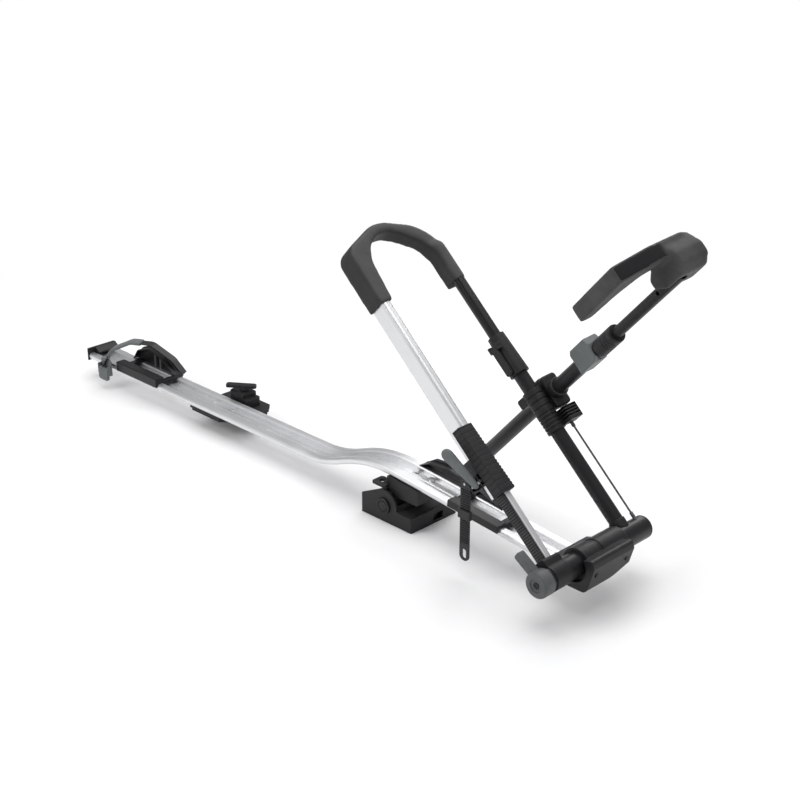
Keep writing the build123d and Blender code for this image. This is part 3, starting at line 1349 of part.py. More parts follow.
def jaw_pad():
    """Rubber faced plate between the jaw's walls that the screw lifts to the crossbar."""
    high = -CROSSBAR_HEIGHT / 2 - BODY_GAP
    return brick(
        FRONT_BAR_X - CROSSBAR_WIDTH / 2,
        TRAY_FRONT_X - TRAY_WALL,
        FOOT_NEAR_Y + TRAY_WALL,
        FOOT_BRACKET_HALF + BODY_GAP,
        high - JAW_PAD_THICK,
        high,
    )


def hub_pin():
    """Hinge pin of the jaw with its round head on the near side."""
    pin = rod_y(HUB_X, HUB_Z, HUB_PIN_RADIUS, FOOT_NEAR_Y - BODY_GAP, FOOT_FAR_Y - TRAY_WALL * 2)
    front = FOOT_NEAR_Y - BODY_GAP - HUB_DISC_THICK
    disc = rod_y(HUB_X, HUB_Z, HUB_DISC_RADIUS, front, front + HUB_DISC_THICK)
    disc = chamfer(disc.edges().group_by(Axis.Y)[0], HUB_RING_DEPTH)
    groove = rod_y(HUB_X, HUB_Z, HUB_RING_RADIUS + HUB_RING_DEPTH, front, front + HUB_RING_DEPTH)
    groove -= rod_y(HUB_X, HUB_Z, HUB_RING_RADIUS, front, front + HUB_RING_DEPTH)
    return pin + disc - groove


def jaw_screw():
    """Tightening screw of the jaw with its lobed knob behind the front window."""
    high = -CROSSBAR_HEIGHT / 2 - JAW_PAD_THICK - 2 * BODY_GAP
    shaft = rod_z(JAW_SCREW_X, JAW_SCREW_Y, JAW_SCREW_RADIUS, TRAY_FLOOR_Z + TRAY_WALL / 2, high)
    low = TRAY_FLOOR_Z + TRAY_WALL * 2
    knob = rod_z(JAW_SCREW_X, JAW_SCREW_Y, JAW_KNOB_RADIUS, low, low + JAW_KNOB_HEIGHT)
    for index in range(JAW_KNOB_LOBES):
        angle = 2 * math.pi * index / JAW_KNOB_LOBES
        knob -= rod_z(
            JAW_SCREW_X + JAW_KNOB_RADIUS * math.cos(angle),
            JAW_SCREW_Y + JAW_KNOB_RADIUS * math.sin(angle),
            JAW_SCREW_RADIUS / 2,
            low,
            low + JAW_KNOB_HEIGHT,
        )
    return shaft + knob


def foot_bolts():
    """Two bolts that hold the rail down on the bracket."""
    bolts = []
    for x, y in foot_bolt_places():
        floor = rail_top_at(x - FOOT_BOLT_HEAD) - FLOOR_DEPTH + BODY_GAP
        shaft = rod_z(x, y, FOOT_BOLT_RADIUS, FOOT_BRACKET_BOTTOM, floor)
        bolts.append(shaft + rod_z(x, y, FOOT_BOLT_HEAD, floor, floor + FOOT_BOLT_RADIUS))
    return bolts


def rear_base():
    """Base plate of the rear foot under the rail, reaching out on the far side."""
    body = upward(rear_outline(0), RAIL_BOTTOM_Z - BASE_THICK, RAIL_BOTTOM_Z)
    for x, y in base_screw_places():
        body -= rod_z(x, y, BASE_SCREW_RADIUS, 2 * (RAIL_BOTTOM_Z - BASE_THICK), RAIL_TOP_Z)
    return body - bolt_way()


def rear_pad():
    """Rubber pad under the rear foot that lies on the crossbar."""
    low = RAIL_BOTTOM_Z - BASE_THICK
    return upward(rear_outline(BASE_CORNER / 8), low - REAR_PAD_THICK, low) - bolt_way()


def rear_tower():
    """Housing on the far side of the rear foot that carries the T handle's nut."""
    x = REAR_BAR_X + TOWER_X
    body = upward(
        rounded(
            x - TOWER_LENGTH / 2,
            x + TOWER_LENGTH / 2,
            TOWER_Y - TOWER_WIDTH / 2,
            TOWER_Y + TOWER_WIDTH / 2,
            TOWER_ROUND,
        ),
        RAIL_BOTTOM_Z,
        TOWER_TOP_Z,
    )
    body = chamfer(body.edges().group_by(Axis.Z)[-1], TOWER_ROUND / 2)
    wedge = brick(
        x,
        x + TOWER_LENGTH,
        TOWER_Y - TOWER_WIDTH,
        TOWER_Y + TOWER_WIDTH,
        TOWER_TOP_Z - TOWER_ROUND * 2,
        TOWER_TOP_Z * 2,
    )
    body -= Pos(TOWER_LENGTH / 4, 0, 0) * wedge
    return body - bolt_way()


def t_handle():
    """T handle of the rear foot on its bolt, which reaches down through the pad."""
    x = REAR_BAR_X + TOWER_X
    low = TOWER_TOP_Z + T_GAP_Z
    foot = RAIL_BOTTOM_Z - BASE_THICK - REAR_PAD_THICK
    stem = rod_z(x, TOWER_Y, T_STEM_RADIUS, foot, low)
    stem += rod_z(x, TOWER_Y, T_THREAD_RADIUS, foot - T_BOLT_REACH, foot)
    boss = rod_z(x, TOWER_Y, T_STEM_RADIUS * 2, TOWER_TOP_Z + BODY_GAP, low)
    bar = Pos(T_SHIFT, 0, low + T_HEIGHT / 2) * Box(T_LENGTH, T_WIDTH, T_HEIGHT)
    bar = fillet(bar.edges().filter_by(Axis.Z), T_WIDTH / 3)
    bar = fillet(bar.edges().group_by(Axis.Z)[-1], T_HEIGHT / 3)
    return stem + boss + Pos(x, TOWER_Y, 0) * Rot(0, 0, T_TURN_DEG) * bar


def base_screws():
    """Two screws that hold the rear foot to the rail's floor."""
    screws = []
    for x, y in base_screw_places():
        top = RAIL_TOP_Z - FLOOR_DEPTH
        shaft = rod_z(x, y, BASE_SCREW_RADIUS, RAIL_BOTTOM_Z - BASE_THICK, top)
        screws.append(shaft + rod_z(x, y, BASE_SCREW_HEAD, top, top + BASE_SCREW_RADIUS))
    return screws


def cheek_outline(x0, x1, base_z, rise):
    """Side view of an arched wheel cheek."""
    length = x1 - x0
    face = polygon(
        (x0, base_z),
        (x0 + length / 8, base_z + rise * 2 / 3),
        (x0 + length * 3 / 8, base_z + rise),
        (x0 + length * 5 / 8, base_z + rise * 5 / 6),
        (x1 - length / 16, base_z + rise / 6),
        (x1, base_z),
    )
    points = [
        (x0 + length / 8, base_z + rise * 2 / 3),
        (x0 + length * 3 / 8, base_z + rise),
        (x0 + length * 5 / 8, base_z + rise * 5 / 6),
    ]
    return soften(face, points, rise / 2)


def saddle(x0, x1, side_rise, gap):
    """Shell that hooks over both sides of the rail with a gap, open over the tray."""
    outer = RAIL_HALF + CRADLE_WALL
    shell = brick(x0, x1, -outer, outer, -RAIL_HEIGHT / 2, side_rise)
    shell = fillet(shell.edges().filter_by(Axis.X).group_by(Axis.Z)[-1], CRADLE_WALL / 2)
    rail_shape = brick(x0, x1, -RAIL_HALF - gap, RAIL_HALF + gap, -RAIL_HEIGHT, gap)
    tray = brick(x0, x1, -TRAY_HALF, TRAY_HALF, -RAIL_HEIGHT, 2 * side_rise)
    return shell - rail_shape - tray


def cradle(x0, x1, cheek0, cheek1, rise, near_rise, gap):
    """One wheel cradle, a gap clear of the rail, in its frame: near plate, bridges and far cheek."""
    body = saddle(x0, x1, near_rise, gap)
    body -= brick(x0, x1, TRAY_HALF, 2 * RAIL_HALF, -RAIL_HEIGHT, near_rise)
    side = RAIL_HALF + CRADLE_WALL
    inner = side - CHEEK_THICK
    cheek = across(cheek_outline(cheek0, cheek1, gap, rise), inner, side)
    rim = across(cheek_outline(cheek0, cheek1, gap, rise - CRADLE_WALL), TRAY_HALF, inner)
    hollow = across(cheek_outline(cheek0, cheek1, gap, rise - 2 * CRADLE_WALL), TRAY_HALF, inner)
    skirt0, skirt1 = cheek0 + CRADLE_WALL, cheek1 - CRADLE_WALL
    skirt = brick(skirt0, skirt1, RAIL_HALF + gap, side, -RAIL_HEIGHT / 2, CRADLE_WALL)
    body += cheek + (rim - hollow) + skirt
    bridge_length = CRADLE_WINDOW_LENGTH / 4
    for start in (x0, x1 - bridge_length):
        body += brick(
            start,
            start + bridge_length,
            -TRAY_HALF + gap,
            TRAY_HALF - gap,
            -FLOOR_DEPTH + FLOOR_RIB_HEIGHT * 2,
            FRONT_PLATE_RISE / 2,
        )
        body += brick(start, start + bridge_length, -RAIL_HALF, RAIL_HALF, gap, FRONT_PLATE_RISE / 2)
    return body


def head_screw_places():
    """Centres (y, z) of the screws in the head's front face."""
    middle = (HEAD_NEAR_Y + HEAD_FAR_Y) / 2
    z = AXLE_Z - CROSS_TUBE_RADIUS / 3
    return [(middle + sign * HEAD_SCREW_SPAN / 2, z) for sign in (-1, 1)]


def cover_outer(margin):
    """Outer corners of the hoop's bend in its plane, drawn in by a margin."""
    return [
        (COVER_NEAR_OUT + margin, COVER_NEAR_END),
        (COVER_NEAR_OUT + margin, COVER_NEAR_SHOULDER - margin / 3),
        (COVER_APEX_Y, HOOP_HEIGHT - margin),
        (COVER_KNEE_Y - margin / 3, COVER_KNEE_S - margin),
        (COVER_CORNER_Y - margin, COVER_CORNER_S - margin / 2),
        (COVER_FAR_OUT - margin, COVER_FAR_SHOULDER),
        (COVER_FAR_OUT - margin, COVER_FAR_END),
    ]


def cover_inner(margin):
    """Inner corners of the hoop's bend in its plane, drawn in by a margin."""
    rise = HOOP_HEIGHT - COVER_BAND
    return [
        (COVER_FAR_IN + margin, COVER_FAR_END),
        (COVER_FAR_IN + margin, COVER_FAR_SHOULDER),
        (COVER_KNEE_Y + margin / 2, COVER_KNEE_S - COVER_BAND * 3 / 2 + margin / 2),
        (COVER_KNEE_Y / 2, rise - COVER_BAND / 2 + margin),
        (COVER_KNEE_Y / 6, rise + margin),
        (COVER_APEX_Y * 2, rise + margin),
        (COVER_NEAR_IN + COVER_BAND - margin / 2, rise - COVER_BAND * 2 / 3 + margin),
        (COVER_NEAR_IN + COVER_BAND / 3 - margin, COVER_FAR_SHOULDER + COVER_BAND),
        (COVER_NEAR_IN - margin, COVER_NEAR_END),
    ]


def hinge_ring(start, end, rib_count):
    """Ribbed ring round the far leg between two places along it."""
    body = rod_y(FAR_LEG_Y, FAR_TUBE_N, BLOCK_RADIUS, start, end)
    pitch = (end - start) / (rib_count + 1)
    half = BLOCK_RIB_WIDTH / 2
    for index in range(1, rib_count + 1):
        middle = start + index * pitch
        groove = rod_y(FAR_LEG_Y, FAR_TUBE_N, 2 * BLOCK_RADIUS, middle - half, middle + half)
        core = rod_y(FAR_LEG_Y, FAR_TUBE_N, BLOCK_RADIUS - BLOCK_RIB_DEPTH, middle - half, middle + half)
        body -= groove - core
    return body


def arm_swivel():
    """Sleeve that turns on the far leg and carries the hook arm's stud."""
    body = hinge_ring(BLOCK_START, BLOCK_END, BLOCK_RIB_COUNT)
    ear = brick(
        FAR_LEG_Y - BLOCK_RADIUS,
        FAR_LEG_Y,
        BLOCK_END - BLOCK_RADIUS,
        BLOCK_END,
        FAR_TUBE_N - BLOCK_RADIUS * 2,
        FAR_TUBE_N,
    )
    ear = chamfer(ear.edges().filter_by(Axis.X).group_by(Axis.Z)[0], BLOCK_RIB_WIDTH)
    body += Pos(BLOCK_RADIUS / 2, 0, 0) * ear
    body -= brick(SLEEVE_FLAT_Y, 2 * FAR_LEG_Y, BLOCK_START, BLOCK_END, -2 * BLOCK_RADIUS, 2 * BLOCK_RADIUS)
    body = in_hoop(body) + in_arm(rod_x(0, 0, STUD_RADIUS, -CARRIER_HALF * 2, STUD_DEPTH - CARRIER_HALF))
    return body - in_hoop(rod_y(FAR_LEG_Y, FAR_TUBE_N, FAR_TUBE_RADIUS + SWIVEL_FIT, 0, FAR_TUBE_END))


def pad_boss():
    """Far corner of the pad that closes round the rod, with a finger along it."""
    side = polygon(
        (PAD_FINGER_T, PAD_BAND_Z + PAD_ROUND),
        (PAD_FINGER_T, PAD_FINGER_Z),
        (PAD_FINGER_T + PAD_THICK, PAD_BOSS_Z),
        (PAD_CREST_T - PAD_ROUND, PAD_BOSS_Z),
        (PAD_FAR_END_T, -PAD_BOSS_Z),
        (PAD_FAR_END_T, PAD_BAND_Z),
        (PAD_CREST_T - PAD_ROUND, PAD_TOP_Z + PAD_ROUND / 2),
        (PAD_INNER_T, PAD_TOP_Z + PAD_ROUND / 2),
    )
    boss = along(side, PAD_BOSS_X, PAD_FAR_X)
    boss = fillet(boss.edges().filter_by(Axis.X), PAD_ROUND / 2)
    return fillet(boss.edges().group_by(Axis.X)[0] + boss.edges().group_by(Axis.X)[-1], PAD_ROUND / 2)


def rail_hull():
    """Outer shape of the rail, closed, that its neighbours are cut to."""
    start = Plane(origin=(RAIL_REAR_X, 0, RAIL_TOP_Z), x_dir=(0, 1, 0), z_dir=(1, 0, 0))
    section = start * Pos(0, -RAIL_HEIGHT / 2) * Rectangle(RAIL_WIDTH, RAIL_HEIGHT)
    return sweep(section, path=rail_path())


def foot_bolt_places():
    """Places (x, y) of the bolts that hold the rail on the front foot."""
    return [(x, TRAY_HALF / 2) for x in (FOOT_BRACKET_REAR / 2, FOOT_BRACKET_FRONT / 2)]


def base_screw_places():
    """Places (x, y) of the screws that hold the rail on the rear foot."""
    return [(REAR_BAR_X + sign * BASE_HALF_LENGTH / 2, TRAY_HALF / 2) for sign in (-1, 1)]


def buckle_pins():
    """Steel pins of the ratchet lever and of the strap's free end."""
    low = LEVER_N - LEVER_WIDTH / 2 - FRAME_THICK
    high = LEVER_N + LEVER_WIDTH / 2 + FRAME_THICK
    lever_pin = rod_z(LEVER_PIN_Y, LEVER_PIN_S, LEVER_PIN_RADIUS, low, high)
    outer = TAIL_Y - STRAP_THICK - TOOTH_HEIGHT
    tail_pin = rod_x(TAIL_PIVOT_S, TAIL_PIVOT_N, TAIL_PIN_RADIUS, outer, NEAR_LEG_Y - NEAR_LEG_WIDTH / 2)
    return [lever_pin, tail_pin]


def strap_plane():
    """Upright plane of the rear wheel strap, with X along it from the near to the far end."""
    along_x = Vector(WHEEL_STRAP_END_X - WHEEL_STRAP_START_X, WHEEL_STRAP_END_Y - WHEEL_STRAP_START_Y, 0)
    normal = along_x.cross(Vector(0, 0, 1))
    return Plane(origin=(WHEEL_STRAP_START_X, WHEEL_STRAP_START_Y, RAIL_TOP_Z), x_dir=along_x, z_dir=normal)


def strap_corners():
    """Corners (u, z) of the rear wheel strap's arch in its own plane."""
    span = math.hypot(WHEEL_STRAP_END_X - WHEEL_STRAP_START_X, WHEEL_STRAP_END_Y - WHEEL_STRAP_START_Y)
    rise = WHEEL_STRAP_RISE
    return [
        (0, -WHEEL_STRAP_DROP),
        (span / 8, rise * 5 / 8),
        (span * 3 / 8, rise),
        (span * 5 / 8, rise),
        (span * 7 / 8, rise / 2),
        (span, 0),
    ]


def strap_band(thick, width, points):
    """Band of a thickness and a width along straight runs joined by arcs."""
    path = FilletPolyline(*points, radius=WHEEL_STRAP_ROUND)
    return Pos(0, 0, -width / 2) * extrude(trace(path, thick), width)


def wheel_strap():
    """Strap that arches over the rear wheel from the buckle to the far cheek."""
    return strap_plane().location * strap_band(WHEEL_STRAP_THICK, WHEEL_STRAP_WIDTH, strap_corners())


def strap_pad():
    """Soft sleeve round the top of the rear wheel strap."""
    corners = strap_corners()
    start = midway(corners[0], corners[1], 2 / 3)
    points = [start] + corners[1:3] + [midway(corners[2], corners[3], 1 / 2)]
    sleeve = strap_band(STRAP_PAD_THICK, WHEEL_STRAP_WIDTH + 2 * STRAP_THICK, points)
    sleeve = fillet(sleeve.edges().group_by(Axis.Z)[0] + sleeve.edges().group_by(Axis.Z)[-1], STRAP_THICK)
    return strap_plane().location * sleeve - wheel_strap()


def midway(start, end, share):
    """Point between two others at a share of the way."""
    return tuple(a + (b - a) * share for a, b in zip(start, end))


def rear_buckle():
    """Base of the rear ratchet buckle on the near side of the cradle, with ears."""
    half = REAR_BUCKLE_LENGTH / 2
    x = REAR_BUCKLE_X
    back = REAR_BUCKLE_OUT + REAR_BUCKLE_THICK
    plate = brick(x - half, x + half, back - CRADLE_WALL / 2, back, REAR_BUCKLE_LOW, REAR_BUCKLE_HIGH)
    plate = chamfer(plate.edges().filter_by(Axis.Y).group_by(Axis.Z)[-1], REAR_BUCKLE_THICK / 2)
    for sign in (-1, 1):
        edge = x + sign * (half - CRADLE_WALL / 4)
        plate += brick(
            edge - CRADLE_WALL / 4,
            edge + CRADLE_WALL / 4,
            REAR_BUCKLE_OUT - CRADLE_WALL / 2,
            back,
            REAR_BUCKLE_LOW,
            REAR_BUCKLE_LOW + REAR_BUCKLE_WIDTH,
        )
    return plate + rear_buckle_pin()


def rear_buckle_pin():
    """Pin between the ears of the rear buckle, on which its lever turns."""
    half = REAR_BUCKLE_LENGTH / 2
    return rod_x(
        REAR_BUCKLE_OUT + REAR_LEVER_THICK / 2,
        REAR_BUCKLE_LOW + REAR_BUCKLE_WIDTH / 2,
        REAR_LEVER_PIN_RADIUS,
        REAR_BUCKLE_X - half,
        REAR_BUCKLE_X + half,
    )


def rear_buckle_lever():
    """Grey lever of the rear buckle, folded down over its ears."""
    half = REAR_BUCKLE_LENGTH / 2 - CRADLE_WALL / 2 - BODY_GAP
    x = REAR_BUCKLE_X
    pin_z = REAR_BUCKLE_LOW + REAR_BUCKLE_WIDTH / 2
    outer = REAR_BUCKLE_OUT - REAR_LEVER_THICK / 2
    pin_y = REAR_BUCKLE_OUT + REAR_LEVER_THICK / 2
    blade = brick(x - half, x + half, outer, outer + REAR_LEVER_THICK, pin_z - REAR_LEVER_LENGTH, pin_z)
    blade = fillet(blade.edges().filter_by(Axis.Y).group_by(Axis.Z)[0], REAR_LEVER_THICK)
    eye = rod_x(pin_y, pin_z, REAR_LEVER_THICK - BODY_GAP, x - half, x + half)
    return blade + eye - rod_x(pin_y, pin_z, REAR_LEVER_PIN_RADIUS + RUNNING_FIT, x - half, x + half)


def rear_outline(inset):
    """Outline of the rear foot from above, drawn in by an inset, with its corners cut."""
    x0 = REAR_BAR_X - BASE_HALF_LENGTH + inset
    x1 = REAR_BAR_X + BASE_FRONT - inset
    near = BASE_NEAR_Y + inset
    far = BASE_FAR_Y - inset
    return polygon(
        (x0, near),
        (x1 - 2 * BASE_CORNER, near),
        (x1, near + 2 * BASE_CORNER),
        (x1, far - BASE_CORNER),
        (x1 - BASE_CORNER, far),
        (x0, far),
    )


def cradle_ribs():
    """Two upright grey ribs inside the rear cradle's far cheek."""
    ribs = []
    middle = (REAR_CHEEK_REAR + REAR_CHEEK_FRONT) / 2
    side = RAIL_HALF + CRADLE_WALL - CHEEK_THICK
    low = RAIL_TOP_Z + BODY_GAP
    high = RAIL_TOP_Z + REAR_CHEEK_RISE - 2 * CRADLE_WALL - CRADLE_RIB_WIDTH
    for index in range(CRADLE_RIB_COUNT):
        x = middle + (index - 1 / 2) * CRADLE_RIB_PITCH
        ribs.append(brick(x, x + CRADLE_RIB_WIDTH, side - CRADLE_RIB_WIDTH, side, low, high))
    return ribs


def bolt_way():
    """Clearance hole of the rear foot's bolt through tower, base and pad."""
    x = REAR_BAR_X + TOWER_X
    return rod_z(x, TOWER_Y, T_STEM_RADIUS + RUNNING_FIT, -TOWER_TOP_Z, 2 * TOWER_TOP_Z)


NODES = {}


def node(name, shape):
    """Keeps a shape, or a list of them, under a node's name."""
    if isinstance(shape, (list, tuple)):
        shape = Compound(children=[piece.solid() if len(piece.solids()) == 1 else piece for piece in shape])
    NODES[name] = shape


def build():
    """Makes every node of the carrier."""
    node("rail", rail())
    node("rail_end_cap", rail_end_cap())
    node("head_block", head_block())
    node("head_screws", head_screws())
    node("head_bushings", head_bushings())
    node("cross_tube", in_hoop(cross_tube()))
    node("cross_tube_cap", in_hoop(cross_tube_cap()))
    node("near_hub", in_hoop(near_hub()))
    node("inner_bar", in_hoop(inner_bar()))
    node("near_leg", in_hoop(near_leg()))
    node("leg_guide", in_hoop(leg_guide()))
    node("far_tube", in_hoop(far_tube()))
    node("far_collar", in_hoop(far_collar()))
    node("upper_tube", in_hoop(upper_tube()))
    core = hoop_core()
    node("hoop_core", in_hoop(core))
    node("hoop_cover", in_hoop(hoop_cover([near_leg_solid(), upper_tube_solid(), core])))
    node("sleeve_clamp", in_hoop(sleeve_clamp()))
    node("sleeve_pin", in_hoop(sleeve_pin()))
    node("sleeve_lever", in_hoop(sleeve_lever()))
    node("cable_anchor", in_hoop(cable_anchor()))
    node("arm_swivel", arm_swivel())
    node("cable", in_hoop(cable()))
    node("cable_ferrules", [in_hoop(piece) for piece in cable_ferrules()])
    node("ladder_strap", in_hoop(ladder_strap()))
    node("buckle_cover", in_hoop(buckle_cover()))
    node("buckle_frame", in_hoop(buckle_frame()))
    node("buckle_pins", [in_hoop(piece) for piece in buckle_pins()])
    node("buckle_lever", in_hoop(buckle_lever()))
    node("strap_tail", strap_tail())
    node("strap_keeper", strap_keeper())
    node("axle_knob", axle_knob())
    node("lock_barrel", lock_barrel())
    node("knob_seat", in_hoop(knob_seat()))
    node("arm_tube", in_arm(arm_tube()))
    node("arm_plug", in_arm(arm_plug()))
    node("arm_carrier", in_arm(arm_carrier()))
    node("trigger_housing", in_arm(trigger_housing()))
    node("rod_guide", in_arm(rod_guide()))
    node("trigger", in_arm(trigger()))
    node("hook_rod", in_arm(hook_rod()))
    pad_core = hook_core()
    node("hook_core", in_arm(pad_core))
    node("hook_pad", in_arm(hook_pad([pad_core, hook_rod_solid()])))
    node("foot_bracket", foot_bracket())
    node("jaw_tray", jaw_tray())
    node("jaw_pad", jaw_pad())
    node("hub_pin", hub_pin())
    node("jaw_screw", jaw_screw())
    node("foot_bolts", foot_bolts())
    node("rear_base", rear_base())
    node("rear_pad", rear_pad())
    node("rear_tower", rear_tower())
    node("t_handle", t_handle())
    node("base_screws", base_screws())
    front0 = FRONT_CLAMP_REAR - BEND_END_X
    front1 = FRONT_CLAMP_FRONT - BEND_END_X
    cheek0 = FRONT_CHEEK_REAR - BEND_END_X
    cheek1 = FRONT_CHEEK_FRONT - BEND_END_X
    front = cradle(front0, front1, cheek0, cheek1, FRONT_CHEEK_RISE, FRONT_PLATE_RISE, 0)
    node("front_cradle", on_front(front))
    ends = (REAR_CRADLE_REAR, REAR_CRADLE_FRONT, REAR_CHEEK_REAR, REAR_CHEEK_FRONT)
    rear = cradle(*ends, REAR_CHEEK_RISE, REAR_PLATE_RISE, BODY_GAP)
    strap = wheel_strap()
    shell = Pos(0, 0, RAIL_TOP_Z) * rear - strap
    node("rear_cradle", shell)
    node("cradle_ribs", [rib - shell for rib in cradle_ribs()])
    node("wheel_strap", strap)
    node("strap_pad", strap_pad())
    node("rear_buckle", rear_buckle() - strap)
    node("rear_buckle_lever", rear_buckle_lever())


build()
os.makedirs("parts", exist_ok=True)
for name, shape in NODES.items():
    export_step(shape, f"parts/{name}.step")
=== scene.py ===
"""Looks of the upright roof bike carrier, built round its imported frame.

Everything is in metres, in the frame's own axes: X runs forward along the rail, Y to the side of the hook
arm and Z up.
"""

from __future__ import annotations

import logging
import math
from dataclasses import dataclass, field
from enum import Enum
from typing import Optional, Sequence, Union

import bmesh
import bpy
from mathutils import Matrix, Vector

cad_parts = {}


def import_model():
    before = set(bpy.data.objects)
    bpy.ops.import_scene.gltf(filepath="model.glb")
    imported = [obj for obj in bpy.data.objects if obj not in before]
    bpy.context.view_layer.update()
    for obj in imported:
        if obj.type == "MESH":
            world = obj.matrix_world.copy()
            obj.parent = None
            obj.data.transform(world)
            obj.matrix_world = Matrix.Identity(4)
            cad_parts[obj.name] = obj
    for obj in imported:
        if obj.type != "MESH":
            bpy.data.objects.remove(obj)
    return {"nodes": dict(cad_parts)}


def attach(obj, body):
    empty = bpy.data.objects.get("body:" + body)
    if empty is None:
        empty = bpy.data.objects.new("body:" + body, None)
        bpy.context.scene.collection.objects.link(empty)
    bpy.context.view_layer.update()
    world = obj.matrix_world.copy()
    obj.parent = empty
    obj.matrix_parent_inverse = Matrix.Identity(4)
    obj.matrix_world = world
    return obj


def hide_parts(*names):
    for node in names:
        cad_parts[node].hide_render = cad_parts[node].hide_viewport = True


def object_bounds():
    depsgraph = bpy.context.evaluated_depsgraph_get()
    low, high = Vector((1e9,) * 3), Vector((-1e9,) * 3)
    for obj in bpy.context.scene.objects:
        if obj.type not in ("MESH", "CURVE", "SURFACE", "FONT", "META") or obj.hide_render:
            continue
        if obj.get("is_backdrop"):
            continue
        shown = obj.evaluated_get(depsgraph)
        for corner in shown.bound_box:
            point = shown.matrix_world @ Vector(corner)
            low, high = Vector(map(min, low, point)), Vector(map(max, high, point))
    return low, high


LOG = logging.getLogger("bike_carrier")
Number = Union[int, float]
Colour = tuple[float, float, float]

HOOP_UP = (-0.73787, 0.0, 0.67494)
HOOP_FACE = (0.67494, 0.0, 0.73787)
HOOP_FOOT = (0.425, 0.0, 0.0485)
ARM_RUN = (0.685815, -0.210618, 0.696633)
ARM_SIDE = (0.142248, 0.977539, 0.155508)
CABLE_RUN = (0.73, 0.15, -0.66)


class Grain(Enum):
    """Direction in which the marks of drawing run on a metal tube, as the axis that they follow."""

    RAIL = (1.0, 0.0, 0.0)
    CROSS = (0.0, 1.0, 0.0)
    HOOP = HOOP_UP
    ARM = ARM_RUN


class Wire:
    """One output of a shader node, on which maths is written with Python's operators."""

    def __init__(self, board: "Board", socket: bpy.types.NodeSocket) -> None:
        """Wraps a socket.

        Args:
            board: the node board that the socket is on.
            socket: the output socket.
        """
        self.board = board
        self.socket = socket

    def maths(self, operation: str, *values: Union["Wire", Number]) -> "Wire":
        """Adds a Math node on this value.

        Args:
            operation: the Math node's operation.
            values: the other inputs, wires or numbers.

        Returns:
            The node's result.
        """
        inputs = {0: self, **dict(enumerate(values, 1))}
        return self.board.add("ShaderNodeMath", {"operation": operation}, inputs)

    def __add__(self, other: Union["Wire", Number]) -> "Wire":
        """Sum."""
        return self.maths("ADD", other)

    __radd__ = __add__

    def __mul__(self, other: Union["Wire", Number]) -> "Wire":
        """Product."""
        return self.maths("MULTIPLY", other)

    __rmul__ = __mul__

    def __sub__(self, other: Union["Wire", Number]) -> "Wire":
        """Difference."""
        return self.maths("SUBTRACT", other)

    def __rsub__(self, other: Number) -> "Wire":
        """Difference from a number."""
        return self.board.add("ShaderNodeMath", {"operation": "SUBTRACT"}, {0: other, 1: self})

    def __pow__(self, other: Number) -> "Wire":
        """Power."""
        return self.maths("POWER", other)

    def between(self, low: Number, high: Number, start: Number = 0.0, end: Number = 1.0) -> "Wire":
        """Smoothly maps the value from one span to another.

        Args:
            low: value that gives start.
            high: value that gives end.
            start: result at low.
            end: result at high.

        Returns:
            The mapped value.
        """
        settings = {"interpolation_type": "SMOOTHSTEP"}
        return self.board.add("ShaderNodeMapRange", settings, {0: self, 1: low, 2: high, 3: start, 4: end})


